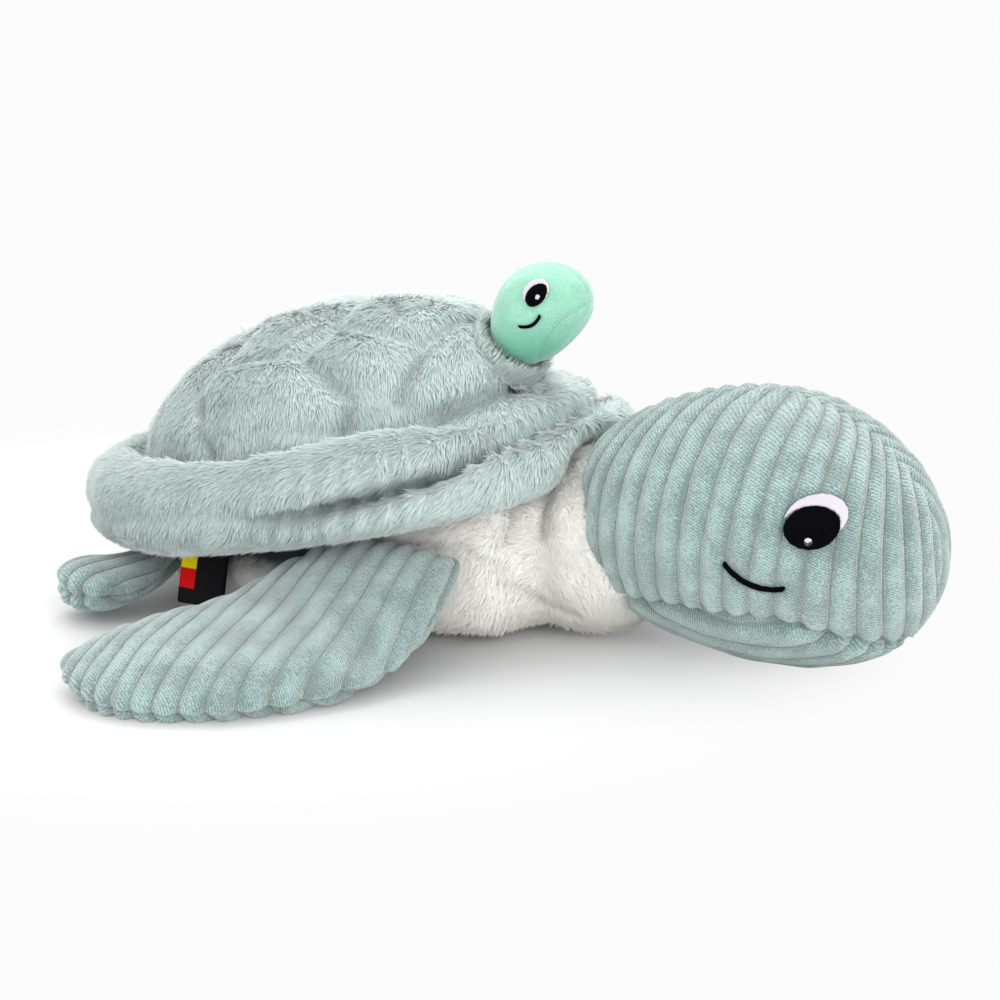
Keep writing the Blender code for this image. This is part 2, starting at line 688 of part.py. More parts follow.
def make_face(shop, plan, side):
    """The eye white, pupil, glint and mouth on one side, each a patch of raised stitches."""
    prefix, frame, side_name = plan.prefix, plan.frame, SIDES[side]
    width = plan.size[1]
    cage = plan.cage()
    eye_width, eye_height, pupil_width, pupil_height, glint_width = plan.eye
    near, far = sorted((side * width / 8, side * width))
    eye_at = plan.place_of(plan.eye_place_shares)
    pupil_at = shifted(eye_at, PUPIL_SHIFT_SHARES, eye_width, eye_height)
    glint_at = shifted(pupil_at, plan.glint_shift_shares, pupil_width, pupil_height)
    mouth_at = plan.place_of(plan.mouth_place_shares)
    on_cloth = grow(shop.soft_cutter(f"{prefix}face_{side_name}", cage, frame), GAP)
    on_thread = shop.soft_cutter(f"{prefix}face_thread_{side_name}", cage, frame)
    grow(on_thread, GAP + plan.thread)

    def patch(name, outline, thread_colour):
        prism = outline_mesh("patch", outline, near, far)
        item = shop.part(f"{prefix}{name}_{side_name}", prism, frame, thread_colour, plan.pivot)
        keep(item, on_thread)
        return remove(item, on_cloth)

    def hole(name, outline):
        prism = outline_mesh("hole", outline, near, far)
        return shop.cutter(f"{prefix}{name}_{side_name}", prism, frame)

    pupil_hole = hole("pupil_hole", oval(pupil_at, pupil_width + 2 * GAP, pupil_height + 2 * GAP))
    glint_hole = hole("glint_hole", oval(glint_at, glint_width + 2 * GAP, glint_width + 2 * GAP, 8))
    remove(patch("eye_white", oval(eye_at, eye_width, eye_height), WHITE_THREAD), pupil_hole)
    remove(patch("eye_pupil", oval(pupil_at, pupil_width, pupil_height), BLACK_THREAD), glint_hole)
    patch("eye_glint", oval(glint_at, glint_width, glint_width, 8), WHITE_THREAD)
    patch("mouth", smile(mouth_at, *plan.mouth), BLACK_THREAD)


def shifted(middle, shares, width, height):
    """A place moved by shares of a width and of a height."""
    return [middle[0] + shares[0] * width, middle[1] + shares[1] * height]


def make_torso(shop, sockets, neck_cutter, floor):
    """Back panel, belly panel and stuffing of the body."""
    cage = torso_cage()
    seam = [(TORSO_REAR + a * TORSO_LENGTH, h * TORSO_RISE) for a, h in BODY_SEAM_SHARES]
    closed = [(seam[-1][0], -TORSO_RISE), (seam[0][0], -TORSO_RISE)]
    raised = [(x, z + GAP) for x, z in seam]
    belly_zone = shop.cutter("belly", outline_mesh("belly", seam + closed, -TORSO_WIDTH, TORSO_WIDTH))
    belly_gap = shop.cutter(
        "belly_gap", outline_mesh("belly", raised + closed, -TORSO_WIDTH, TORSO_WIDTH)
    )
    inner = shop.soft_cutter("torso_inner", torso_cage(COVER))
    back = smooth(shop.part("body_back_panel", cage, Matrix(), WHITE_PLUSH))
    remove(back, *sockets, inner, belly_gap, neck_cutter)
    belly = smooth(shop.part("body_belly_panel", cage, Matrix(), WHITE_PLUSH))
    remove(belly, *sockets, inner, floor, neck_cutter)
    keep(belly, belly_zone)
    stuffing = smooth(shop.part("body_stuffing", torso_cage(COVER + SOFT_GAP), Matrix(), FILLING))
    room = ball_mesh("neck", NECK_RADIUS + NECK_PLAY + COVER)
    remove(stuffing, shop.cutter("stuffing_end", room, neck_frame()), *sockets)


def make_neck(shop):
    """The neck's cover, open at its two sewn ends, and the stuffing ball inside it."""
    frame = neck_frame()
    cover = shop.part("neck_cover", ball_mesh("neck", NECK_RADIUS), frame, WHITE_PLUSH)
    inner = shop.cutter("neck_inner", ball_mesh("neck", NECK_RADIUS - COVER, 16, 10), frame)
    bore = shop.cutter("neck_bore", rod_mesh("neck", NECK_OPENING, 4 * NECK_RADIUS), frame)
    remove(cover, inner, bore)
    shop.part("neck_stuffing", ball_mesh("neck", NECK_RADIUS - COVER - SOFT_GAP, 16, 10), frame, FILLING)


def make_shell(shop, torso_cutter, neck_cutter, pocket_cutters, head_cutters):
    """Dome cover and stuffing, brim covers and stuffing, and the pocket lining."""
    frame = shell_frame()
    dome = dome_mesh()
    brim = brim_mesh()
    reach = DOME_LENGTH
    under = box_mesh("under", (-reach, -reach, -reach), (reach, reach, -DOME_SKIRT))
    below = shop.cutter("below_dome", under, frame)
    dome_inner = shop.cutter("dome_inner", dome_mesh(COVER), frame)
    dome_gap = remove(shop.cutter("dome_gap", dome_mesh(-GAP), frame), below)
    cover = shop.part("shell_dome_cover", dome, frame, TEAL_FUR)
    remove(cover, dome_inner, below, torso_cutter, neck_cutter, *pocket_cutters)
    stuffing = shop.part("shell_dome_stuffing", dome_mesh(COVER + SOFT_GAP), frame, FILLING)
    remove(stuffing, below, torso_cutter, neck_cutter, *pocket_cutters)

    low = box_mesh("low", (-reach, -reach, -reach), (reach, reach, 0))
    low_half = shop.cutter("brim_low", low, frame)
    low_gap = grow(shop.cutter("brim_low_gap", low, frame), GAP)
    brim_inner = shop.cutter("brim_inner", brim_mesh(COVER), frame)
    neighbours = (dome_gap, torso_cutter, neck_cutter, *pocket_cutters, *head_cutters)
    upper = shop.part("brim_upper_cover", brim, frame, TEAL_FUR)
    remove(upper, brim_inner, low_gap, *neighbours)
    lower = shop.part("brim_under_cover", brim, frame, TEAL_FUR)
    keep(lower, low_half)
    remove(lower, brim_inner, *neighbours)
    roll = shop.part("brim_stuffing", brim_mesh(COVER + SOFT_GAP), frame, FILLING)
    remove(roll, *neighbours)


def make_pocket(shop):
    """The pocket's lining, and the cutters that keep its space and the baby's way out."""
    frame = pocket_frame()
    way_out = POCKET_DEPTH * 3
    sack = shop.cutter("sack", pocket_cage(LINING + GAP, way_out), frame)
    lining = shop.part("pocket_lining", pocket_cage(LINING, 0), frame, TEAL_FUR)
    hollow = shop.cutter("pocket_hollow", pocket_cage(0, way_out), frame)
    remove(lining, hollow)
    head_frame = frame @ Matrix.Translation((BABY_HEAD_OUT, 0, 0))
    play = BABY_PLAY + BABY_THREAD + GAP
    cage = head_cage(BABY_HEAD_LENGTH, BABY_HEAD_WIDTH, BABY_HEAD_HEIGHT, -play, BABY_HEAD_SIDES)
    room = shop.soft_cutter("baby_room", cage, head_frame)
    widest = max(wide for _, wide, *_ in HEAD_SHARES)
    across = Vector((0, widest * BABY_HEAD_WIDTH / 2 + play, 0))
    up = Vector((0, 0, widest * BABY_HEAD_HEIGHT / 2 + play))
    nil = (Vector(), Vector(), Vector())
    start, end = Vector(), Vector((way_out, 0, 0))
    stations = [(start, *nil), (start, across, up, -up), (end, across, up, -up), (end, *nil)]
    passage = shop.cutter("baby_passage", ring_form("passage", stations, 24), head_frame)
    return sack, room, passage


def make_baby(shop):
    """The baby: its head above the pocket's mouth and its body in the pocket."""
    frame = pocket_frame()
    head_frame = frame @ Matrix.Translation((BABY_HEAD_OUT, 0, 0))
    size = (BABY_HEAD_LENGTH, BABY_HEAD_WIDTH, BABY_HEAD_HEIGHT)
    seat = shop.soft_cutter("baby_seat", head_cage(*size, -GAP, BABY_HEAD_SIDES), head_frame)
    inner_play = -BABY_PLAY - BABY_COVER
    hollow = shop.cutter("baby_inner", pocket_cage(inner_play, POCKET_DEPTH), frame)
    cover = shop.part("baby_body_cover", pocket_cage(-BABY_PLAY, 0), frame, MINT_VELOUR)
    remove(cover, hollow, seat)
    stuffing = shop.part("baby_body_stuffing", pocket_cage(inner_play - SOFT_GAP, 0), frame, FILLING)
    remove(stuffing, seat)
    plan = HeadPlan(
        prefix="baby_",
        size=size,
        eye=(BABY_EYE_WIDTH, BABY_EYE_HEIGHT, BABY_PUPIL_WIDTH, BABY_PUPIL_HEIGHT, BABY_GLINT_WIDTH),
        mouth=(BABY_MOUTH_LENGTH, BABY_MOUTH_SAG, BABY_MOUTH_LINE, BABY_MOUTH_SLOPE),
        eye_place_shares=BABY_EYE_PLACE_SHARES,
        glint_shift_shares=BABY_GLINT_SHIFT_SHARES,
        mouth_place_shares=BABY_MOUTH_PLACE_SHARES,
        gusset_seam_shares=BABY_GUSSET_SEAM_SHARES,
        cover=BABY_COVER,
        thread=BABY_THREAD,
        frame=head_frame,
        pivot=frame,
        cloth=MINT_VELOUR,
        sides=BABY_HEAD_SIDES,
    )
    make_head(shop, plan)


def head_frame_at(turn, nod):
    """The head's frame after its neck has turned and it has nodded up."""
    middle = Matrix.Translation((NECK_X, 0, NECK_Z))
    rest = Matrix.Translation((HEAD_REAR + HEAD_LENGTH / 2, 0, HEAD_HEIGHT / 2))
    pose = Matrix.Rotation(turn, 4, "Z") @ Matrix.Rotation(-nod, 4, "Y")
    return middle @ pose @ middle.inverted() @ rest


def make_head_room(shop):
    """The raised head's space, straight and turned to each side, which the brim keeps clear of."""
    cage = head_cage(HEAD_LENGTH, HEAD_WIDTH, HEAD_HEIGHT, -HEAD_CLEAR)
    return [
        shop.soft_cutter(f"head_room_{i}", cage, head_frame_at(turn, HEAD_NOD))
        for i, turn in enumerate((-HEAD_TURN, 0, HEAD_TURN))
    ]


def make_label(shop):
    """A woven label, sewn in under the brim on the right side."""
    low = (-LABEL_WIDTH / 2, -LABEL_THICK / 2, -LABEL_DROP)
    high = (LABEL_WIDTH / 2, LABEL_THICK / 2, 0)
    lean = Matrix.Rotation(-LABEL_LEAN, 4, "X")
    frame = Matrix.Translation((LABEL_X, -LABEL_Y, LABEL_TOP)) @ lean
    shop.part("side_label", box_mesh("label", low, high), frame, LABEL_WEAVE)


def main():
    clear_scene()
    shop = Workshop()
    wide = 4 * TORSO_LENGTH
    floor = shop.cutter("floor", box_mesh("floor", (-wide, -wide, -wide), (wide, wide, 0)))
    neck_cutter = shop.cutter("neck_room", ball_mesh("neck", NECK_RADIUS + NECK_PLAY), neck_frame())
    sockets = []
    for side in SIDES:
        shoulder = Vector((SHOULDER_X, SHOULDER_Y, SHOULDER_Z))
        front = flipper_stations(side, FRONT_FLIPPER_SHARES, FRONT_TIP_SHARES, shoulder, 0,
                                 FRONT_SPAN, FRONT_REACH, FRONT_THICK)
        front_hinge = Matrix.Translation((SHOULDER_X, side * SHOULDER_Y, SHOULDER_Z))
        sockets.append(make_flipper(shop, "front_flipper", side, front, front_hinge, floor))
        hip = Vector((HIP_X, HIP_Y, HIP_Z))
        rear = flipper_stations(side, REAR_FLIPPER_SHARES, REAR_TIP_SHARES, hip, HIP_TURN,
                                REAR_SPAN, REAR_REACH, REAR_THICK)
        heading = Matrix.Rotation(side * HIP_TURN, 4, "Z")
        rear_hinge = Matrix.Translation((HIP_X, side * HIP_Y, HIP_Z)) @ heading
        sockets.append(make_flipper(shop, "rear_flipper", side, rear, rear_hinge, floor))
    make_torso(shop, sockets, neck_cutter, floor)
    make_neck(shop)
    torso_cutter = shop.soft_cutter("torso_room", torso_cage(-SOFT_GAP))
    make_shell(shop, torso_cutter, neck_cutter, make_pocket(shop), make_head_room(shop))
    plan = HeadPlan(
        prefix="",
        size=(HEAD_LENGTH, HEAD_WIDTH, HEAD_HEIGHT),
        eye=(EYE_WIDTH, EYE_HEIGHT, PUPIL_WIDTH, PUPIL_HEIGHT, GLINT_WIDTH),
        mouth=(MOUTH_LENGTH, MOUTH_SAG, MOUTH_LINE, MOUTH_SLOPE),
        eye_place_shares=EYE_PLACE_SHARES,
        glint_shift_shares=GLINT_SHIFT_SHARES,
        mouth_place_shares=MOUTH_PLACE_SHARES,
        gusset_seam_shares=GUSSET_SEAM_SHARES,
        cover=COVER,
        thread=THREAD,
        frame=head_frame_at(0, 0),
        pivot=Matrix.Translation((NECK_X, 0, NECK_Z)),
        cloth=TEAL_CORD,
        sides=HEAD_SIDES,
    )
    make_head(shop, plan, neck_cutter)
    make_baby(shop)
    make_label(shop)


main()
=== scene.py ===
"""Plush sea turtle with a baby turtle in its shell pocket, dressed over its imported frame.

Corduroy head and flippers, a quilted fur shell, a plush body, a velour baby, satin-stitched
faces and a woven label, with a plain stage. Lengths are in metres. +X is the turtle's nose,
+Y its left side and +Z up.
"""

import json
import math

import bmesh
import bpy
import numpy as np
from mathutils import Matrix, Vector, noise
from mathutils.bvhtree import BVHTree
from mathutils.kdtree import KDTree


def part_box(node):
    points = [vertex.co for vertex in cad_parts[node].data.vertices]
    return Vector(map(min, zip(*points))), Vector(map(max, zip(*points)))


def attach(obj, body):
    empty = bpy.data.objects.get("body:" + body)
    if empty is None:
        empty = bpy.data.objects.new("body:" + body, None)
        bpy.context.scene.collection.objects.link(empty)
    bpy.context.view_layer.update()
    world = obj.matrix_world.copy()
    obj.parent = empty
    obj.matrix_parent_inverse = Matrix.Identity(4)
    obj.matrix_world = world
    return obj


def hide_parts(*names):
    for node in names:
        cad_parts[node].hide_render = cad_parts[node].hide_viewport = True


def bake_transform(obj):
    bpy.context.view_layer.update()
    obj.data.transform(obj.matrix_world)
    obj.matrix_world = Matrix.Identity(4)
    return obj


bl_info = {
    "name": "Plush sea turtle",
    "version": (1, 0, 0),
    "blender": (4, 5, 0),
    "location": "View3D > Sidebar > Plush turtle",
    "description": "Dresses the frame of a plush sea turtle in its cloths and fur",
    "category": "Object",
}

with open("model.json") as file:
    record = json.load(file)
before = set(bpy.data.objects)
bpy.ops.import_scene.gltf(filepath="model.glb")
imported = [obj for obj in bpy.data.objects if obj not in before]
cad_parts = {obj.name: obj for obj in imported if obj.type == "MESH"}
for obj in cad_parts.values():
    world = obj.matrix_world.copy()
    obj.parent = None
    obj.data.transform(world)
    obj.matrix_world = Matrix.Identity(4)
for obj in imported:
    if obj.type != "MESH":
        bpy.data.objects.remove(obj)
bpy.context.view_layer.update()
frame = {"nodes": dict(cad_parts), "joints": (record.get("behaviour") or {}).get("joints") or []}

SIDES = {-1: "right", 1: "left"}
HEAD_SIDES = ("head_panel_right", "head_panel_left")
BABY_HEAD_SIDES = ("baby_head_panel_right", "baby_head_panel_left")
TRUNK = ("body_back_panel", "body_belly_panel")
FRONT_FLIPPER_TOPS = ("front_flipper_upper_panel_right", "front_flipper_upper_panel_left")
REAR_FLIPPER_TOPS = ("rear_flipper_upper_panel_right", "rear_flipper_upper_panel_left")

FAR = 0.05  # distances to a neighbour are not told apart beyond this
NO_SEAM = 0.02  # stands for the distance to a seam where there is none
CLOTH_VOXEL = 0.0045  # faces of a cover while it is blown up
CLOTH_PRESSURE = 4
CLOTH_FRAMES = 20
NEIGHBOUR_GAP = 0.001  # what a cover that is blown up leaves free before its neighbours
SKIN_SPACING = 0.0012  # between the points of a finished skin
PLUSH_TUFT_WIDTH = 0.0007
FUR_TUFT_WIDTH = 0.00076
FUR_GROUND = 0.0016  # how far the ground of the fur lies under the cover's outside
PILE_ROWS = 950  # rows of pile on a metre of wale
LABEL_FOLD = 0.0006  # radius of the fold in the label
LABEL_THICKNESS = 0.0004

BACKGROUND = 0.970  # what the empty stage renders as
FLOOR = 0.555  # the floor's colour to the camera, which these lamps bring up to the background
FLOOR_BOUNCE = 0.85  # and its colour where it only throws light up under the turtle

# Quilted seams of the dome on the right side, mirrored to the left: points on the shell
DOME_SEAMS = (
    ((-0.058, -0.020, 0.115), (-0.060, -0.044, 0.107), (-0.0415, -0.0483, 0.1128),
     (-0.017, -0.0507, 0.117), (-0.012, -0.028, 0.125), (-0.019, -0.0, 0.128)),
    ((-0.017, -0.0507, 0.117), (0.0138, -0.0643, 0.1056), (0.0161, -0.0727, 0.092),
     (0.014, -0.080, 0.078)),
    ((-0.012, -0.028, 0.125), (0.005, -0.0327, 0.1255), (0.030, -0.0309, 0.123),
     (0.0343, -0.0573, 0.1043)),
    ((-0.060, -0.044, 0.107), (-0.0661, -0.0528, 0.0987), (-0.0453, -0.0772, 0.0777)),
    ((-0.058, -0.020, 0.115), (-0.078, -0.016, 0.104), (-0.092, -0.020, 0.088)),
    ((0.030, -0.0309, 0.123), (0.034, -0.010, 0.126), (0.038, 0.0, 0.125)),
)
# Where the dome is pulled in behind the brim's high front, and the crease along the brim's own top
DOME_CREASE = ((-0.020, -0.089, 0.082), (0.0054, -0.0876, 0.0865), (0.0247, -0.0852, 0.0908),
               (0.0397, -0.0731, 0.0962), (0.0503, -0.0474, 0.101), (0.0621, -0.0238, 0.1054),
               (0.0668, -0.0104, 0.1055), (0.0701, 0.0, 0.1040))
BRIM_CREASE = ((-0.010, -0.108, 0.060), (0.0150, -0.104, 0.066), (0.0375, -0.0961, 0.0731),
               (0.0629, -0.0771, 0.0838), (0.0734, -0.046, 0.0898), (0.0793, -0.0032, 0.0910))
# Folds and tucks of the white plush on the right side: points, depth and width
BODY_FOLDS = (
    (((0.0645, -0.023, 0.071), (0.0725, -0.0335, 0.0615), (0.0746, -0.0411, 0.0469)),
     0.0030, 0.0035),
    (((0.0744, -0.0435, 0.031), (0.0841, -0.0309, 0.0198), (0.0993, -0.0295, 0.0152)),
     0.0014, 0.0030),
    (((0.0800, -0.015, 0.072), (0.0849, -0.0284, 0.0618), (0.0858, -0.0346, 0.0509)),
     0.0024, 0.0035),
)
# How the fur lies on each part of the shell: which way it flows on the left side, how far it
# stands up, how much it draws together in locks, how much painted shade darkens its creases
# and what it gives way to
DOME_FUR = {
    "flow": (0.30, 0.35, -0.8), "lift": 0.22, "locks": 0.25, "crease": 0.35, "seed": 31,
    "gives_way_to": BABY_HEAD_SIDES,
}
BRIM_FUR = {
    "flow": (-0.25, 0.35, -0.8), "lift": 0.24, "locks": 0.3, "crease": 0.9, "seed": 41,
    "gives_way_to": (*HEAD_SIDES, *BABY_HEAD_SIDES, "neck_cover", "body_back_panel",
                     *FRONT_FLIPPER_TOPS, *REAR_FLIPPER_TOPS),
}
# The stitches of a face: their thread, and how far the mother's are moved up her cheek from their
# solids and outwards
STITCHES = (
    ("eye_white", "pale thread", 0.0, 0.0),
    ("eye_pupil", "dark thread", 0.0013, 0.0005),
    ("eye_glint", "pale thread", 0.0028, 0.0006),
    ("mouth", "dark thread", -0.0014, 0.0),
)


class PlushTurtleCloth(bpy.types.PropertyGroup):
    """Colours and sizes of the cloths."""

    cord: bpy.props.FloatVectorProperty(
        name="Corduroy", description="Colour of the corduroy's pile", subtype="COLOR",
        default=(0.252, 0.355, 0.339), min=0, max=1)
    cord_groove: bpy.props.FloatVectorProperty(
        name="Groove", description="Colour of the ground between two wales", subtype="COLOR",
        default=(0.215, 0.235, 0.220), min=0, max=1)
    fur: bpy.props.FloatVectorProperty(
        name="Fur", description="Colour of the shell's fur", subtype="COLOR",
        default=(0.455, 0.545, 0.525), min=0, max=1)
    plush: bpy.props.FloatVectorProperty(
        name="Plush", description="Colour of the body's plush", subtype="COLOR",
        default=(0.84, 0.825, 0.78), min=0, max=1)
    velour: bpy.props.FloatVectorProperty(
        name="Velour", description="Colour of the baby's velour", subtype="COLOR",
        default=(0.225, 0.470, 0.355), min=0, max=1)
    dark_thread: bpy.props.FloatVectorProperty(
        name="Dark thread", description="Colour of pupils and mouths", subtype="COLOR",
        default=(0.003, 0.003, 0.004), min=0, max=1)
    pale_thread: bpy.props.FloatVectorProperty(
        name="Pale thread", description="Colour of the eye whites", subtype="COLOR",
        default=(0.60, 0.56, 0.63), min=0, max=1)
    head_wale: bpy.props.FloatProperty(
        name="Head wale", description="Width of a wale on the head", unit="LENGTH", default=0.0097)
    flipper_wale: bpy.props.FloatProperty(
        name="Flipper wale", description="Width of a wale on a flipper", unit="LENGTH",
        default=0.0096)
    wale_height: bpy.props.FloatProperty(
        name="Wale height", description="From a groove to the top of a wale", unit="LENGTH",
        default=0.0020)
    fur_length: bpy.props.FloatProperty(
        name="Fur length", description="Length of one tuft of fur", unit="LENGTH", default=0.0055)
    fur_density: bpy.props.FloatProperty(
        name="Fur density", description="Tufts on a square metre", default=1950000)
    plush_length: bpy.props.FloatProperty(
        name="Plush length", description="Length of one tuft of plush", unit="LENGTH",
        default=0.0042)
    plush_density: bpy.props.FloatProperty(
        name="Plush density", description="Tufts on a square metre", default=1800000)


class PlushTurtleStage(bpy.types.PropertyGroup):
    """Light and camera."""

    key: bpy.props.FloatProperty(
        name="Key lamp", description="Power of the large lamp at the front left", unit="POWER",
        default=5)
    top: bpy.props.FloatProperty(
        name="Top lamp", description="Power of the lamp overhead", unit="POWER", default=18)
    fill: bpy.props.FloatProperty(
        name="Fill lamp", description="Power of the low lamp at the front right", unit="POWER",
        default=7)
    sky: bpy.props.FloatProperty(
        name="Sky", description="Strength of the even light from all round", default=1.46)
    yaw: bpy.props.FloatProperty(
        name="Yaw", description="The camera's turn towards the nose", unit="ROTATION",
        default=math.radians(27))
    elevation: bpy.props.FloatProperty(
        name="Elevation", description="The camera's height angle", unit="ROTATION",
        default=math.radians(16))
    distance: bpy.props.FloatProperty(
        name="Distance", description="From the camera to the turtle", unit="LENGTH", default=1.2)
    lens: bpy.props.FloatProperty(
        name="Lens", description="Focal length in millimetres", default=102.8)


def new_object(name, mesh):
    item = bpy.data.objects.new(name, mesh)
    bpy.context.scene.collection.objects.link(item)
    return item


def evaluated_mesh(item):
    """The mesh that an object's modifiers give, after which the object is gone."""
    graph = bpy.context.evaluated_depsgraph_get()
    mesh = bpy.data.meshes.new_from_object(
        item.evaluated_get(graph), preserve_all_data_layers=True, depsgraph=graph)
    mesh.name = item.name
    bpy.data.objects.remove(item, do_unlink=True)
    return mesh


def joined_nodes(nodes):
    """One mesh of several CAD nodes, with their doubles merged."""
    shape = bmesh.new()
    for node in nodes:
        copy = frame["nodes"][node].data
        part = bmesh.new()
        part.from_mesh(copy)
        bmesh.ops.remove_doubles(part, verts=part.verts, dist=1e-6)
        merged = bpy.data.meshes.new(node + "_copy")
        part.to_mesh(merged)
        part.free()
        shape.from_mesh(merged)
        bpy.data.meshes.remove(merged)
    mesh = bpy.data.meshes.new("joined")
    shape.to_mesh(mesh)
    shape.free()
    return mesh


def remeshed(mesh, voxel):
    """A mesh of even faces round the same space."""
    item = new_object(mesh.name, mesh)
    step = item.modifiers.new("Even", "REMESH")
    step.mode = "VOXEL"
    step.voxel_size = voxel
    return evaluated_mesh(item)


def widest_island(mesh):
    """Keep only the outermost closed skin of a mesh."""
    shape = bmesh.new()
    shape.from_mesh(mesh)
    shape.verts.ensure_lookup_table()
    seen = set()
    islands = []
    for start in shape.verts:
        if start.index in seen:
            continue
        seen.add(start.index)
        island, front = [], [start]
        while front:
            vert = front.pop()
            island.append(vert)
            for edge in vert.link_edges:
                other = edge.other_vert(vert)
                if other.index not in seen:
                    seen.add(other.index)
                    front.append(other)
        islands.append(island)
    keep = max(islands, key=len)
    for island in islands:
        if island is not keep:
            bmesh.ops.delete(shape, geom=island, context="VERTS")
    shape.to_mesh(mesh)
    shape.free()
    return mesh


def smoothed(mesh, rounds, chosen=None):
    """Even out a mesh, or only its chosen points."""
    shape = bmesh.new()
    shape.from_mesh(mesh)
    verts = [vert for vert in shape.verts if chosen is None or chosen[vert.index]]
    for _ in range(rounds):
        bmesh.ops.smooth_vert(
            shape, verts=verts, factor=0.5, use_axis_x=True, use_axis_y=True, use_axis_z=True)
    shape.to_mesh(mesh)
    shape.free()
    return mesh


def subdivided(mesh):
    item = new_object(mesh.name, mesh)
    step = item.modifiers.new("Fine", "SUBSURF")
    step.levels = step.render_levels = 1
    return evaluated_mesh(item)


def vectors_of(items, field):
    """One row of three numbers for each item."""
    numbers = np.zeros(len(items) * 3, np.float32)
    items.foreach_get(field, numbers)
    return numbers.reshape(-1, 3).astype(float)


def points_of(mesh):
    return vectors_of(mesh.vertices, "co")


def normals_of(mesh):
    return vectors_of(mesh.vertices, "normal")


def set_points(mesh, points):
    mesh.vertices.foreach_set("co", points.astype(np.float32).ravel())
    mesh.update()


def set_values(mesh, name, values):
    """Store one number, or one vector, for each vertex."""
    kind = "FLOAT" if values.ndim == 1 else "FLOAT_VECTOR"
    field = "value" if values.ndim == 1 else "vector"
    layer = mesh.attributes.get(name) or mesh.attributes.new(name, kind, "POINT")
    layer.data.foreach_set(field, values.astype(np.float32).ravel())


def distance_to(points, *nodes):
    """How far each point is from the nearest of some CAD nodes."""
    best = np.full(len(points), 1.0)
    for node in nodes:
        shape = bmesh.new()
        shape.from_mesh(frame["nodes"][node].data)
        tree = BVHTree.FromBMesh(shape)
        shape.free()
        found = np.array([tree.find_nearest(Vector(p), FAR)[3] or FAR for p in points])
        best = np.minimum(best, found)
    return best


def distance_to_line(points, line):
    """How far each point is from a line through some corners."""
    best = np.full(len(points), 1.0)
    for start, end in zip(line, line[1:]):
        start, end = np.array(start), np.array(end)
        along = end - start
        share = np.clip((points - start) @ along / (along @ along), 0, 1)
        best = np.minimum(best, np.linalg.norm(points - start - share[:, None] * along, axis=1))
    return best


def near(distance, width):
    """1 on a line, falling off to nothing about two widths from it."""
    return np.exp(-(distance / width) ** 2)


def ramp(values, start, length):
    """From 0 at a start to 1 a length beyond it, or before it where the length is negative."""
    return np.clip((values - start) / length, 0, 1)


def unit(vectors):
    return vectors / np.linalg.norm(vectors, axis=1)[:, None]


def bumps(points, size, seed=0):
    """Soft unevenness from -1 to 1, with hills about one size across."""
    shift = Vector((seed * 3.7, seed * 1.9, seed * 5.3))
    return np.array([noise.noise(Vector(p) / size + shift) for p in points])


def mirrored(line):
    return tuple((x, -y, z) for x, y, z in line)


def stuffed_skin(name, nodes, voxel, swell, others=()):
    """A closed skin round a cover and its stuffing, blown up a little as a filled cover is."""
    mesh = joined_nodes(nodes)
    mesh.name = name
    if swell:
        mesh = inflated(widest_island(remeshed(mesh, CLOTH_VOXEL)), swell, others)
    mesh = widest_island(remeshed(mesh, voxel))
    mesh = smoothed(mesh, 4)
    return subdivided(mesh)


def inflated(mesh, swell, others):
    """Blow a closed cover up with cloth simulation, each point by at most swell."""
    rest = points_of(mesh)
    item = new_object(mesh.name, mesh)
    step = item.modifiers.new("Cloth", "CLOTH")
    step.settings.use_pressure = True
    step.settings.uniform_pressure_force = CLOTH_PRESSURE
    step.settings.effector_weights.gravity = 0
    step.settings.quality = 4
    step.point_cache.frame_start = 1
    step.point_cache.frame_end = CLOTH_FRAMES
    for i in range(1, CLOTH_FRAMES + 1):
        bpy.context.scene.frame_set(i)
    moved = points_of(evaluated_mesh(item))
    shift = moved - rest
    length = np.linalg.norm(shift, axis=1)
    limit = np.full(len(rest), swell)
    if others:
        room = distance_to(rest, *others) - NEIGHBOUR_GAP
        limit = np.minimum(limit, np.maximum(room, 0))
    shift *= np.minimum(1, limit / np.maximum(length, 1e-9))[:, None]
    bpy.context.scene.frame_set(1)
    set_points(mesh, rest + shift)
    return mesh


def seam_distance(points, panels):
    """How far each point is from a seam between panels, its own panel and the one beyond."""
    found = np.array([distance_to(points, panel) for panel in panels])
    order = found.argsort(axis=0)
    return np.sort(found, axis=0)[1], order[0], order[1]


def wale_profile(phase):
    """Height over the ground of a rounded wale, from 0 in its grooves to 1."""
    across = np.abs(2 * (phase - np.floor(phase)) - 1)
    return 1 - across ** 2


def on_floor(points):
    points[:, 2] = np.maximum(points[:, 2], 0.0002)
    return points


def follow(item, body):
    """Move with one body; for a pair of bodies with a start and an end point, only bake the object's
    place into its mesh.
    """
    if isinstance(body, str):
        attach(item, body)
    else:
        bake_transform(item)


def make_piece(name, mesh, body, material, nodes):
    """An object that stands for some CAD nodes and hides them."""
    item = new_object(name, mesh)
    mesh.materials.clear()
    mesh.materials.append(material)
    mesh.shade_smooth()
    follow(item, body)
    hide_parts(*nodes)
    return item


# Materials


def node_group(name, inputs, outputs):
    """An empty shader group and its two end nodes."""
    tree = bpy.data.node_groups.new(name, "ShaderNodeTree")
    for label, kind, value in inputs:
        socket = tree.interface.new_socket(label, in_out="INPUT", socket_type=kind)
        if value is not None:
            socket.default_value = value
    for label, kind in outputs:
        tree.interface.new_socket(label, in_out="OUTPUT", socket_type=kind)
    return tree, tree.nodes.new("NodeGroupInput"), tree.nodes.new("NodeGroupOutput")


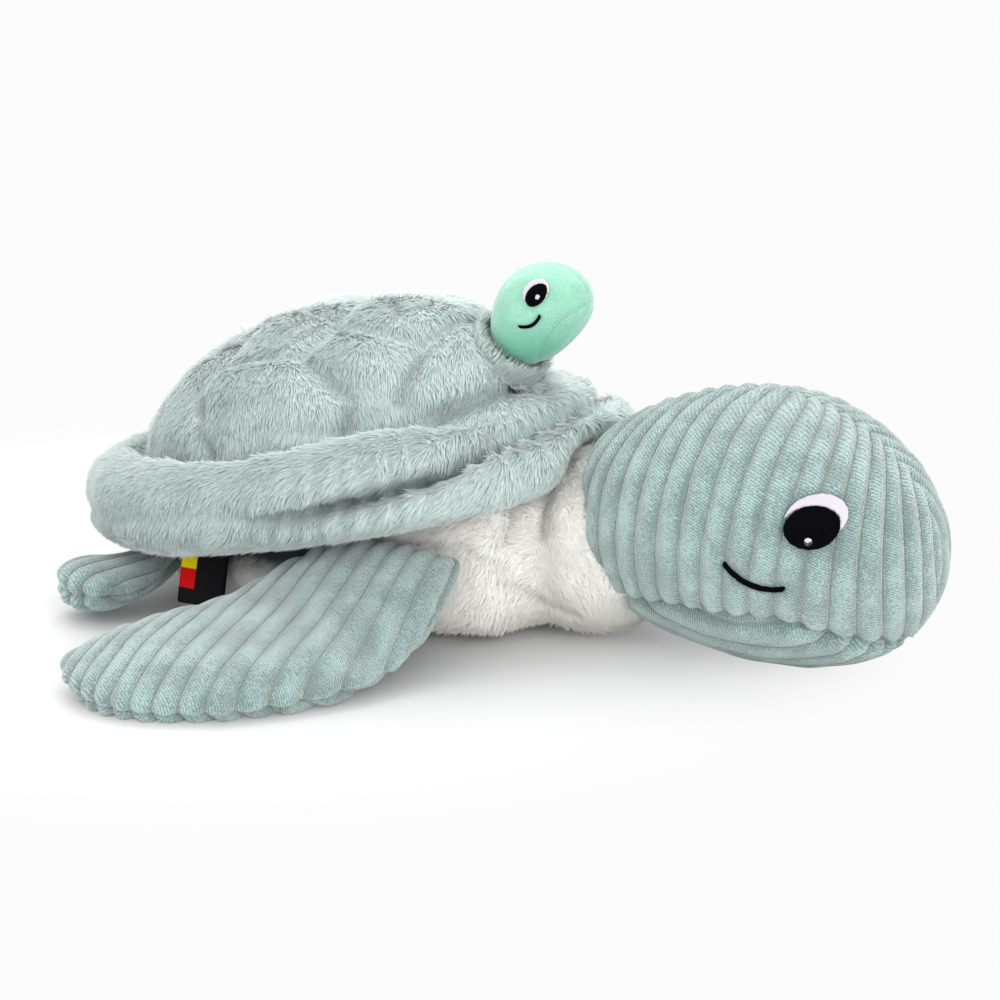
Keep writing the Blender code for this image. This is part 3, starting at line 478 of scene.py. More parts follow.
def maths(tree, operation, first, second=None, third=None):
    node = tree.nodes.new("ShaderNodeMath")
    node.operation = operation
    for socket, value in zip(node.inputs, (first, second, third)):
        if value is None:
            continue
        if isinstance(value, (int, float)):
            socket.default_value = value
        else:
            tree.links.new(value, socket)
    return node.outputs[0]


def mapped(tree, value, low, high, to_low=0.0, to_high=1.0):
    node = tree.nodes.new("ShaderNodeMapRange")
    node.interpolation_type = "SMOOTHSTEP"
    tree.links.new(value, node.inputs["Value"])
    node.inputs["From Min"].default_value = low
    node.inputs["From Max"].default_value = high
    node.inputs["To Min"].default_value = to_low
    node.inputs["To Max"].default_value = to_high
    return node.outputs["Result"]


def blended(tree, share, first, second):
    """Mix two colours, each a socket or a colour, by a share."""
    node = tree.nodes.new("ShaderNodeMix")
    node.data_type = "RGBA"
    factor = next(s for s in node.inputs if s.name == "Factor" and s.type == "VALUE")
    colours = [s for s in node.inputs if s.type == "RGBA"]
    for socket, value in zip((factor, *colours), (share, first, second)):
        if isinstance(value, (int, float)):
            socket.default_value = value
        elif isinstance(value, bpy.types.NodeSocket):
            tree.links.new(value, socket)
        else:
            socket.default_value = (*value[:3], 1)
    return next(s for s in node.outputs if s.type == "RGBA")


def pile_group():
    """Small tufts of a pile: a height, and a tone with painted shade between tufts and paler tips,
    plus uneven patches of nap.
    """
    tree, start, end = node_group(
        "Pile", (("Vector", "NodeSocketVector", None), ("Tuft scale", "NodeSocketFloat", 900.0),
                 ("Patch scale", "NodeSocketFloat", 60.0)),
        (("Height", "NodeSocketFloat"), ("Tone", "NodeSocketFloat")))
    cells = tree.nodes.new("ShaderNodeTexVoronoi")
    cells.feature = "F1"
    tree.links.new(start.outputs["Vector"], cells.inputs["Vector"])
    tree.links.new(start.outputs["Tuft scale"], cells.inputs["Scale"])
    patches = tree.nodes.new("ShaderNodeTexNoise")
    patches.inputs["Detail"].default_value = 4
    tree.links.new(start.outputs["Vector"], patches.inputs["Vector"])
    tree.links.new(start.outputs["Patch scale"], patches.inputs["Scale"])
    fine = tree.nodes.new("ShaderNodeTexNoise")
    fine.inputs["Detail"].default_value = 3
    tree.links.new(start.outputs["Vector"], fine.inputs["Vector"])
    half = maths(tree, "MULTIPLY", start.outputs["Tuft scale"], 0.5)
    tree.links.new(half, fine.inputs["Scale"])
    height = maths(tree, "SUBTRACT", 1.0, cells.outputs["Distance"])
    height = maths(tree, "MULTIPLY_ADD", fine.outputs["Fac"], 0.8, height)
    patch_tone = maths(tree, "MULTIPLY", mapped(tree, patches.outputs["Fac"], 0.3, 0.7), 0.5)
    # painted shade where the pile is low between tufts, added to the patches of uneven nap
    tone = maths(tree, "MULTIPLY_ADD", mapped(tree, height, 0.6, 1.4), 0.5, patch_tone)
    tree.links.new(height, end.inputs["Height"])
    tree.links.new(tone, end.inputs["Tone"])
    return tree


def thread_group():
    """Rows of satin stitches: a height across their direction."""
    tree, start, end = node_group(
        "Satin stitches",
        (("Vector", "NodeSocketVector", None), ("Scale", "NodeSocketFloat", 900.0)),
        (("Height", "NodeSocketFloat"),))
    rows = tree.nodes.new("ShaderNodeTexWave")
    rows.wave_type = "BANDS"
    rows.bands_direction = "X"
    rows.inputs["Distortion"].default_value = 0.6
    rows.inputs["Detail"].default_value = 1
    tree.links.new(start.outputs["Vector"], rows.inputs["Vector"])
    tree.links.new(start.outputs["Scale"], rows.inputs["Scale"])
    tree.links.new(rows.outputs["Fac"], end.inputs["Height"])
    return tree


def new_material(name, colour, roughness, sheen=0.0, sheen_roughness=0.4):
    """A material with its shader, to which the patterns are joined."""
    made = bpy.data.materials.new(name)
    made.use_nodes = True
    made.diffuse_color = (*colour[:3], 1)
    shader = made.node_tree.nodes["Principled BSDF"]
    shader.inputs["Base Color"].default_value = (*colour[:3], 1)
    shader.inputs["Roughness"].default_value = roughness
    shader.inputs["Specular IOR Level"].default_value = 0.25
    shader.inputs["Sheen Weight"].default_value = sheen
    shader.inputs["Sheen Roughness"].default_value = sheen_roughness
    return made, made.node_tree, shader


def object_place(tree):
    return tree.nodes.new("ShaderNodeTexCoord").outputs["Object"]


def attribute(tree, name):
    node = tree.nodes.new("ShaderNodeAttribute")
    node.attribute_name = name
    return node.outputs["Fac"]


def placed_group(tree, group, vector, **values):
    node = tree.nodes.new("ShaderNodeGroup")
    node.node_tree = group
    tree.links.new(vector, node.inputs["Vector"])
    for key, value in values.items():
        node.inputs[key.replace("_", " ")].default_value = value
    return node


def add_bump(tree, shader, height, distance, strength):
    node = tree.nodes.new("ShaderNodeBump")
    node.inputs["Strength"].default_value = strength
    node.inputs["Distance"].default_value = distance
    tree.links.new(height, node.inputs["Height"])
    tree.links.new(node.outputs["Normal"], shader.inputs["Normal"])


def shade(colour, share):
    """A colour made darker or paler by a factor."""
    return tuple(min(1, c * share) for c in colour[:3])


def cord_material(cloth, pile):
    """Wales with slanting rows of pile, painted shade on their flanks, a ground that shows between
    them and painted shade along the seams.
    """
    made, tree, shader = new_material("wide corduroy", cloth.cord, 0.9, 0.70, 0.35)
    pile_node = placed_group(
        tree, pile, object_place(tree), Tuft_scale=1500.0, Patch_scale=75.0)
    phase = attribute(tree, "wale")
    along = maths(tree, "MULTIPLY", attribute(tree, "row"), PILE_ROWS)
    rows = maths(tree, "MULTIPLY_ADD", phase, 4.2, along)
    rows = maths(tree, "MULTIPLY_ADD", pile_node.outputs["Height"], 0.9, rows)
    rows = maths(tree, "SINE", maths(tree, "MULTIPLY", rows, 2 * math.pi))
    across = maths(tree, "MULTIPLY_ADD", maths(tree, "FRACT", phase), 2.0, -1.0)
    across = maths(tree, "ABSOLUTE", across)
    groove = mapped(tree, across, 0.86, 1.0)
    flank_shade = mapped(tree, across, 0.30, 0.95)
    seam = mapped(tree, attribute(tree, "seam"), 0.0, 0.0012, 1.0, 0.0)
    tone = maths(tree, "MULTIPLY_ADD", rows, 0.34, pile_node.outputs["Tone"])
    # painted shade on the flanks of each wale
    tone = maths(tree, "SUBTRACT", tone, maths(tree, "MULTIPLY", flank_shade, 0.30))
    tone = mapped(tree, tone, 0.0, 0.9)
    colour = blended(tree, tone, shade(cloth.cord, 0.62), shade(cloth.cord, 1.32))
    colour = blended(tree, maths(tree, "MULTIPLY", groove, 0.55), colour, cloth.cord_groove)
    # painted shade in the recessed seams between panels
    colour = blended(tree, maths(tree, "MULTIPLY", seam, 0.8), colour, shade(cloth.cord, 0.45))
    tree.links.new(colour, shader.inputs["Base Color"])
    tuft_height = maths(tree, "MULTIPLY", pile_node.outputs["Height"], 0.30)
    height = maths(tree, "MULTIPLY_ADD", rows, 0.30, tuft_height)
    height = maths(tree, "SUBTRACT", height, groove)
    add_bump(tree, shader, height, 0.0010, 0.8)
    return made


def fur_material(name, colour, pile, darkest, palest, shadow):
    """The ground under a fur or plush, with painted shade along its seams and creases and where the
    attribute shadow says so.
    """
    made, tree, shader = new_material(name, colour, 0.95, 0.25)
    pile_node = placed_group(
        tree, pile, object_place(tree), Tuft_scale=520.0, Patch_scale=38.0)
    # painted shade along seams, folds and creases
    seam = mapped(tree, attribute(tree, "seam"), 0.0, 0.0016, 1.0, 0.0)
    seam = maths(tree, "MULTIPLY", seam, 0.85)
    toned = blended(
        tree, pile_node.outputs["Tone"], shade(colour, darkest), shade(colour, palest))
    toned = blended(tree, seam, toned, shade(colour, darkest * 0.4))
    toned = blended(tree, attribute(tree, "shadow"), toned, shadow)
    tree.links.new(toned, shader.inputs["Base Color"])
    add_bump(tree, shader, pile_node.outputs["Height"], 0.0016, 0.8)
    return made


def tuft_material(name, colour, darkest, palest, shadow):
    """Strands with painted shade at their roots that pales towards their tips, each with its own
    tone, and painted shade in folds where the attribute shadow says so.
    """
    made, tree, shader = new_material(name, colour, 0.85, 0.55, 0.35)
    # painted shade deep in the pile: each strand is darkest at its root and palest at its tip
    tip = mapped(tree, attribute(tree, "tip"), 0.0, 0.85)
    own = attribute(tree, "strand")
    tone = maths(tree, "MULTIPLY_ADD", own, 0.40, maths(tree, "MULTIPLY", tip, 0.60))
    toned = blended(tree, tone, shade(colour, darkest), shade(colour, palest))
    toned = blended(tree, attribute(tree, "shadow"), toned, shadow)
    tree.links.new(toned, shader.inputs["Base Color"])
    return made


def velour_material(cloth, pile):
    """Short smooth pile with painted shade at its seams and where the attribute shadow says so."""
    made, tree, shader = new_material("velour", cloth.velour, 0.8, 0.5)
    pile_node = placed_group(
        tree, pile, object_place(tree), Tuft_scale=1500.0, Patch_scale=110.0)
    # painted shade in the seams
    seam = mapped(tree, attribute(tree, "seam"), 0.0, 0.0005, 1.0, 0.0)
    seam = maths(tree, "MULTIPLY", seam, 0.75)
    red, green, blue = cloth.velour
    # the painted shade colour, darker and greener, for where the attribute shadow says so
    velour_shadow = (red * 0.30, green * 0.72, blue * 0.66)
    toned = blended(
        tree, pile_node.outputs["Tone"], shade(cloth.velour, 0.86), shade(cloth.velour, 1.16))
    toned = blended(tree, seam, toned, shade(cloth.velour, 0.35))
    toned = blended(tree, attribute(tree, "shadow"), toned, velour_shadow)
    tree.links.new(toned, shader.inputs["Base Color"])
    add_bump(tree, shader, pile_node.outputs["Height"], 0.0004, 0.7)
    return made


def thread_material(name, colour, stitches):
    """Satin stitches, painted paler on the tops of their rows and darker between them as highlight
    and shade.
    """
    made, tree, shader = new_material(name, colour, 0.42)
    shader.inputs["Specular IOR Level"].default_value = 0.0
    rows = placed_group(tree, stitches, object_place(tree), Scale=700.0)
    # painted highlight on the stitch rows and painted shade between them
    toned = blended(tree, rows.outputs["Height"], shade(colour, 0.82), shade(colour, 1.08))
    tree.links.new(toned, shader.inputs["Base Color"])
    add_bump(tree, shader, rows.outputs["Height"], 0.0003, 0.8)
    return made


def label_material():
    """Black woven ribbon with a yellow and a red band at one end."""
    black, worn_black = (0.006, 0.006, 0.007), (0.04, 0.04, 0.045)
    yellow, red = (0.75, 0.60, 0.003), (0.60, 0.004, 0.004)
    made, tree, shader = new_material("woven label", black, 0.7)
    shader.inputs["Specular IOR Level"].default_value = 0.05
    place = object_place(tree)
    split = tree.nodes.new("ShaderNodeSeparateXYZ")
    tree.links.new(place, split.inputs[0])
    low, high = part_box("side_label")
    band_end = low.x + (high.x - low.x) * 0.36
    red_bottom = low.z + (high.z - low.z) * 0.26
    yellow_bottom = low.z + (high.z - low.z) * 0.58
    at_end = maths(tree, "LESS_THAN", split.outputs["X"], band_end)
    is_yellow = maths(tree, "GREATER_THAN", split.outputs["Z"], yellow_bottom)
    above = maths(tree, "GREATER_THAN", split.outputs["Z"], red_bottom)
    bands = blended(tree, is_yellow, red, yellow)
    colour = blended(tree, maths(tree, "MULTIPLY", at_end, above), black, bands)
    weave = tree.nodes.new("ShaderNodeTexChecker")
    tree.links.new(place, weave.inputs["Vector"])
    weave.inputs["Scale"].default_value = 2600
    worn = maths(tree, "MULTIPLY", weave.outputs["Fac"], 0.10)
    colour = blended(tree, worn, colour, worn_black)
    tree.links.new(colour, shader.inputs["Base Color"])
    add_bump(tree, shader, weave.outputs["Fac"], 0.0001, 0.6)
    return made


def materials():
    """Every finish, made once."""
    if "wide corduroy" not in bpy.data.materials:
        cloth = bpy.context.scene.plush_turtle_cloth
        pile, stitches = pile_group(), thread_group()
        cord_material(cloth, pile)
        # painted shadow colours: for the fur's creases and for the plush under the shell
        fur_shadow_colour, plush_shadow_colour = shade(cloth.fur, 0.30), shade(cloth.cord, 0.10)
        fur_material("shell fur", cloth.fur, pile, 0.76, 0.98, fur_shadow_colour)
        tuft_material("shell tufts", cloth.fur, 0.60, 1.26, fur_shadow_colour)
        fur_material("white plush", cloth.plush, pile, 0.90, 1.02, plush_shadow_colour)
        tuft_material("white tufts", cloth.plush, 0.88, 1.08, plush_shadow_colour)
        velour_material(cloth, pile)
        thread_material("dark thread", cloth.dark_thread, stitches)
        thread_material("pale thread", cloth.pale_thread, stitches)
        label_material()
    return bpy.data.materials


# Fur


def tuft_shape(name, length, width):
    """One pointed tuft, its root at the origin and its tip along Z."""
    shape = bmesh.new()
    bmesh.ops.create_cone(
        shape, cap_ends=True, segments=3, radius1=width / 2, radius2=0, depth=length,
        matrix=Matrix.Translation((0, 0, length / 2)))
    bmesh.ops.remove_doubles(shape, verts=shape.verts, dist=width / 100)
    mesh = bpy.data.meshes.new(name)
    shape.to_mesh(mesh)
    shape.free()
    set_values(mesh, "tip", points_of(mesh)[:, 2] / length)
    return new_object(name, mesh)


def scatter_tree(name, tuft, density, jitter, seed, material):
    """Geometry nodes that plant a tuft all over a skin along its comb directions."""
    tree = bpy.data.node_groups.new(name, "GeometryNodeTree")
    tree.interface.new_socket("Geometry", in_out="INPUT", socket_type="NodeSocketGeometry")
    tree.interface.new_socket("Geometry", in_out="OUTPUT", socket_type="NodeSocketGeometry")
    start, end = tree.nodes.new("NodeGroupInput"), tree.nodes.new("NodeGroupOutput")
    link = tree.links.new

    def named(label, kind):
        node = tree.nodes.new("GeometryNodeInputNamedAttribute")
        node.data_type = kind
        node.inputs["Name"].default_value = label
        return node.outputs["Attribute"]

    def chance(kind, low, high, offset):
        """A random value for each tuft."""
        node = tree.nodes.new("FunctionNodeRandomValue")
        node.data_type = kind
        sort = "VECTOR" if kind == "FLOAT_VECTOR" else "VALUE"
        ends = [s for s in node.inputs if s.name in ("Min", "Max") and s.type == sort]
        ends[0].default_value, ends[1].default_value = low, high
        node.inputs["Seed"].default_value = seed + offset
        return next(s for s in node.outputs if s.type == sort)

    plant = tree.nodes.new("GeometryNodeDistributePointsOnFaces")
    plant.distribute_method = "RANDOM"
    link(start.outputs[0], plant.inputs["Mesh"])
    link(maths(tree, "MULTIPLY", named("growth", "FLOAT"), density), plant.inputs["Density"])
    plant.inputs["Seed"].default_value = seed
    aim = tree.nodes.new("ShaderNodeVectorMath")
    aim.operation = "ADD"
    link(named("comb", "FLOAT_VECTOR"), aim.inputs[0])
    link(chance("FLOAT_VECTOR", (-jitter,) * 3, (jitter,) * 3, 1), aim.inputs[1])
    turn = tree.nodes.new("FunctionNodeAxesToRotation")
    turn.primary_axis, turn.secondary_axis = "Z", "X"
    link(aim.outputs[0], turn.inputs["Primary Axis"])
    link(plant.outputs["Normal"], turn.inputs["Secondary Axis"])
    source = tree.nodes.new("GeometryNodeObjectInfo")
    source.inputs["Object"].default_value = tuft
    source.inputs["As Instance"].default_value = True
    size = maths(tree, "MULTIPLY", named("pile", "FLOAT"), chance("FLOAT", 0.7, 1.2, 2))
    put = tree.nodes.new("GeometryNodeInstanceOnPoints")
    link(plant.outputs["Points"], put.inputs["Points"])
    link(source.outputs["Geometry"], put.inputs["Instance"])
    link(turn.outputs["Rotation"], put.inputs["Rotation"])
    link(size, put.inputs["Scale"])
    keep = tree.nodes.new("GeometryNodeStoreNamedAttribute")
    keep.data_type, keep.domain = "FLOAT", "INSTANCE"
    keep.inputs["Name"].default_value = "strand"
    link(put.outputs["Instances"], keep.inputs["Geometry"])
    link(chance("FLOAT", 0.0, 1.0, 3), next(s for s in keep.inputs if s.name == "Value"))
    for label, source_name, kind in (("skin_normal", "face_out", "FLOAT_VECTOR"),
                                     ("shadow", "shadow", "FLOAT")):
        below, keep = keep, tree.nodes.new("GeometryNodeStoreNamedAttribute")
        keep.data_type, keep.domain = kind, "INSTANCE"
        keep.inputs["Name"].default_value = label
        link(below.outputs["Geometry"], keep.inputs["Geometry"])
        link(named(source_name, kind), next(s for s in keep.inputs if s.name == "Value"))
    real = tree.nodes.new("GeometryNodeRealizeInstances")
    link(keep.outputs["Geometry"], real.inputs["Geometry"])
    dress = tree.nodes.new("GeometryNodeSetMaterial")
    dress.inputs["Material"].default_value = material
    link(real.outputs["Geometry"], dress.inputs["Geometry"])
    link(dress.outputs["Geometry"], end.inputs[0])
    return tree


def grow_fur(name, skin, tuft, density, jitter, seed, material, body, zones=1):
    """Tufts on a skin, in pieces that ride with it and are lit as the skin under them is."""
    set_values(skin, "face_out", normals_of(skin))
    growth = np.zeros(len(skin.vertices), np.float32)
    skin.attributes["growth"].data.foreach_get("value", growth)
    points = points_of(skin)
    turn = np.arctan2(points[:, 1], points[:, 0] - points[:, 0].mean())
    zone = np.floor((turn / (2 * math.pi) + 0.5) * zones).clip(0, zones - 1)
    for i in range(zones):
        part = skin.copy()
        set_values(part, "growth", growth * (zone == i))
        label = f"{name}_{i + 1}" if zones > 1 else name
        item = new_object(label, part)
        step = item.modifiers.new("Tufts", "NODES")
        step.node_group = scatter_tree(label, tuft, density, jitter, seed + i * 5, material)
        mesh = evaluated_mesh(item)
        soft = vectors_of(mesh.attributes["skin_normal"].data, "vector") + 0.35 * normals_of(mesh)
        mesh.shade_smooth()
        mesh.normals_split_custom_set_from_vertices(unit(soft))
        follow(new_object(label, mesh), body)


def comb(mesh, way, lift, swirl, seed, locks, lock=0.005):
    """Store which way the pile lies: along the skin towards way, drawn together in locks."""
    points, normals = points_of(mesh), normals_of(mesh)
    way = np.broadcast_to(np.array(way, float), points.shape).copy()
    stray = np.stack([
        0.6 * bumps(points, 0.030, seed + i) + 0.5 * bumps(points, 0.009, seed + 7 + i)
        for i in range(3)], axis=1)
    way += stray * swirl
    flat = way - (way * normals).sum(1)[:, None] * normals
    flat /= np.maximum(np.linalg.norm(flat, axis=1), 1e-6)[:, None]
    chance = np.random.default_rng(seed)
    count = int(len(points) * SKIN_SPACING ** 2 / lock ** 2)
    centres = points[chance.choice(len(points), count, replace=False)]
    tree = KDTree(count)
    for i, centre in enumerate(centres):
        tree.insert(centre, i)
    tree.balance()
    nearest = np.array([tree.find(p)[1] for p in points])
    pull = (centres[nearest] - points) / lock
    flat = flat + locks * (pull - (pull * normals).sum(1)[:, None] * normals)
    set_values(mesh, "comb", unit(flat + normals * lift))


# Pieces


def corded(mesh, panels, wale_of, wale_height, flat_near=(), flat_seam=()):
    """Raise wales on a skin, rounded off where they meet the seams between its panels.

    They are almost flat on the nodes of flat_near. Between the two panels of flat_seam the cloth
    lies smooth over its seam.
    """
    points, normals = points_of(mesh), normals_of(mesh)
    seam, side, beyond = seam_distance(points, panels)
    phase, row = wale_of(points, side)
    profile = wale_profile(phase)
    scallop = np.maximum(seam + 0.0020 * (profile - 0.6), 0)
    if flat_seam:
        smooth = np.isin(side, flat_seam) & np.isin(beyond, flat_seam)
        scallop = np.where(smooth, seam + 0.0035, scallop)
    fade = 1 - near(scallop, 0.0024)
    if flat_near:
        fade *= np.maximum(ramp(distance_to(points, *flat_near), 0.0006, 0.0025), 0.12)
    height = profile * wale_height * fade - wale_height * 0.35
    height -= 0.0030 * near(scallop, 0.0028)
    height += 0.0007 * bumps(points, 0.018, 3)
    set_points(mesh, on_floor(points + normals * height[:, None]))
    set_values(mesh, "wale", phase)
    set_values(mesh, "row", row)
    set_values(mesh, "seam", scallop)


class PLUSHTURTLE_OT_head(bpy.types.Operator):
    """Make the corduroy head with its two side panels and chin gusset"""

    bl_idname = "plush_turtle.head"
    bl_label = "Head"

    def execute(self, context):
        cloth = context.scene.plush_turtle_cloth
        nodes = (*HEAD_SIDES, "chin_gusset", "head_stuffing")
        mesh = stuffed_skin("head_plush", nodes, 0.0024, 0.002, ("neck_cover",))
        low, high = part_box("head_stuffing")
        middle, half = (low + high) / 2, (high - low) / 2
        turns = np.linspace(0, math.pi / 2, 60)
        steps = np.hypot(half.x * np.cos(turns), half.y * np.sin(turns)) * (turns[1] - turns[0])
        arcs = np.cumsum(steps) - steps[0]

        def wale_of(points, side):
            """Wales from crown to chin on the cheeks, and lengthwise on the chin gusset."""
            ahead, _, above = (points - np.array(middle)).T
            lean = 0.09 + 0.12 * ahead / half.x
            forward = (ahead - above * lean) / half.x
            shares = unit(np.stack([forward, points[:, 1] / half.y, above / half.z], 1))
            girth = np.hypot(shares[:, 0], shares[:, 1]) ** 0.9
            turn = np.arctan2(np.abs(shares[:, 0]), np.abs(shares[:, 1]))
            upright = np.sign(shares[:, 0]) * girth * np.interp(turn, turns, arcs)
            lengthwise = np.abs(points[:, 1]) * 1.15
            phase = np.where(side == 2, lengthwise, upright) / cloth.head_wale + 0.5
            return phase, np.where(side == 2, ahead, above)

        face = [f"{part}_{side}" for side in SIDES.values() for part in
                ("eye_white", "eye_pupil", "mouth")]
        corded(mesh, nodes[:3], wale_of, cloth.wale_height, face, (0, 1))
        make_piece("head_plush", mesh, "head", materials()["wide corduroy"], nodes)
        return {"FINISHED"}


class PLUSHTURTLE_OT_flippers(bpy.types.Operator):
    """Make the four corduroy flippers"""

    bl_idname = "plush_turtle.flippers"
    bl_label = "Flippers"

    def execute(self, context):
        cloth = context.scene.plush_turtle_cloth
        for sign, side_name in SIDES.items():
            for end, turn in (("front", 0.04), ("rear", -0.30)):
                self.make_flipper(f"{end}_flipper", side_name, sign * turn, cloth)
        return {"FINISHED"}

    def make_flipper(self, kind, side_name, turn, cloth):
        """One flipper, whose wales turn a little from straight across."""
        name = f"{kind}_{side_name}"
        nodes = [f"{kind}_{part}_{side_name}" for part in
                 ("upper_panel", "under_panel", "stuffing")]
        mesh = stuffed_skin(name, nodes, 0.0024, 0.0025, (*TRUNK, "brim_under_cover"))
        low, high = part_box(nodes[0])
        places = np.linspace(low.x - 0.05, high.x + 0.05, 80)
        widths = np.interp(places, (low.x, low.x + 0.06), (0.72, 1)) * cloth.flipper_wale
        counts = np.cumsum((places[1] - places[0]) / widths)

        def wale_of(points, side):
            """Wales across the flipper, narrower towards its tip."""
            ahead = points[:, 0] - turn * points[:, 1]
            return np.interp(ahead, places, counts), points[:, 1]

        corded(mesh, nodes[:2], wale_of, cloth.wale_height * 0.85)
        make_piece(name, mesh, name, materials()["wide corduroy"], nodes)


def tucked(mesh, seams, wobble, seed, puff=0.0):
    """Pull a skin in along seams of (corners, depth, width) and make the rest a little uneven.

    Gives how far each point was from the nearest seam.
    """
    points, normals = points_of(mesh), normals_of(mesh)
    height = puff + wobble * bumps(points, 0.030, seed)
    height += wobble / 2 * bumps(points, 0.011, seed + 1)
    nearest = np.full(len(points), 1.0)
    for line, depth, width in seams:
        away = distance_to_line(points, line)
        height -= depth * near(away, width)
        nearest = np.minimum(nearest, away)
    set_points(mesh, points + normals * height[:, None])
    return nearest


class PLUSHTURTLE_OT_body(bpy.types.Operator):
    """Make the white plush body and neck"""

    bl_idname = "plush_turtle.body"
    bl_label = "Body and neck"

    def execute(self, context):
        cloth = context.scene.plush_turtle_cloth
        tuft = tuft_shape("white_tuft", cloth.plush_length, PLUSH_TUFT_WIDTH)
        nodes = (*TRUNK, "body_stuffing", "neck_cover", "neck_stuffing")
        bend = ("torso", "neck", (0.062, 0, 0.045), (0.098, 0, 0.045))
        mesh, points = self.folded_skin(nodes)
        make_piece("body_plush", mesh, bend, materials()["white plush"], nodes)
        self.comb_plush(mesh, points, cloth)
        grow_fur("body_pile", mesh, tuft, cloth.plush_density, 0.30, 21,
                 materials()["white tufts"], bend, 4)
        bpy.data.objects.remove(tuft, do_unlink=True)
        return {"FINISHED"}

    def folded_skin(self, nodes):
        """Trunk and neck as one skin, with its folds, its side seam, and painted shade under the brim
        and along its folds and seam.
        """
        mesh = stuffed_skin("body_plush", nodes, 0.0028, 0)
        points = points_of(mesh)
        waist = np.maximum(distance_to(points, *TRUNK), distance_to(points, "neck_cover")) < 0.016
        mesh = smoothed(mesh, 90, waist)
        folds = [(side, depth, width) for line, depth, width in BODY_FOLDS
                 for side in (line, mirrored(line))]
        nearest = tucked(mesh, folds, 0.0008, 5)
        points, normals = points_of(mesh), normals_of(mesh)
        seam, _, _ = seam_distance(points, TRUNK)
        seam = np.where(points[:, 0] < 0.075, seam, NO_SEAM)
        points += normals * (-0.0014 * near(seam, 0.0025))[:, None]
        nearest = np.minimum(nearest, seam)
        set_points(mesh, on_floor(points))
        set_values(mesh, "seam", nearest)
        # painted shade on the body under the shell, and a lighter painted shade along its folds and
        # seam
        under_shell_shade = ramp(points[:, 0], 0.030, -0.035) * ramp(points[:, 2], 0.018, 0.012)
        set_values(mesh, "shadow", np.maximum(under_shell_shade, 0.2 * near(nearest, 0.0022)))
        return mesh, points

    def comb_plush(self, mesh, points, cloth):
        """Set how long the plush is, where it grows and which way it lies."""
        room = distance_to(points, *FRONT_FLIPPER_TOPS, *HEAD_SIDES, "brim_under_cover")
        set_values(mesh, "pile", np.clip(room / cloth.plush_length, 0.25, 1))
        brim_bottom = 0.060 + 0.22 * (points[:, 0] - 0.03)
        under_shell = (points[:, 0] < 0.03) & (points[:, 2] > brim_bottom)
        shown = (points[:, 2] > 0.004) & (points[:, 0] > -0.11) & ~under_shell
        set_values(mesh, "growth", shown * ramp(room, 0, 0.002))
        way = np.where(points[:, :1] < 0.085, (-0.6, 0, -0.5), (0.5, 0, -0.8))
        comb(mesh, way, 0.40, 0.8, 11, 0.5, 0.004)


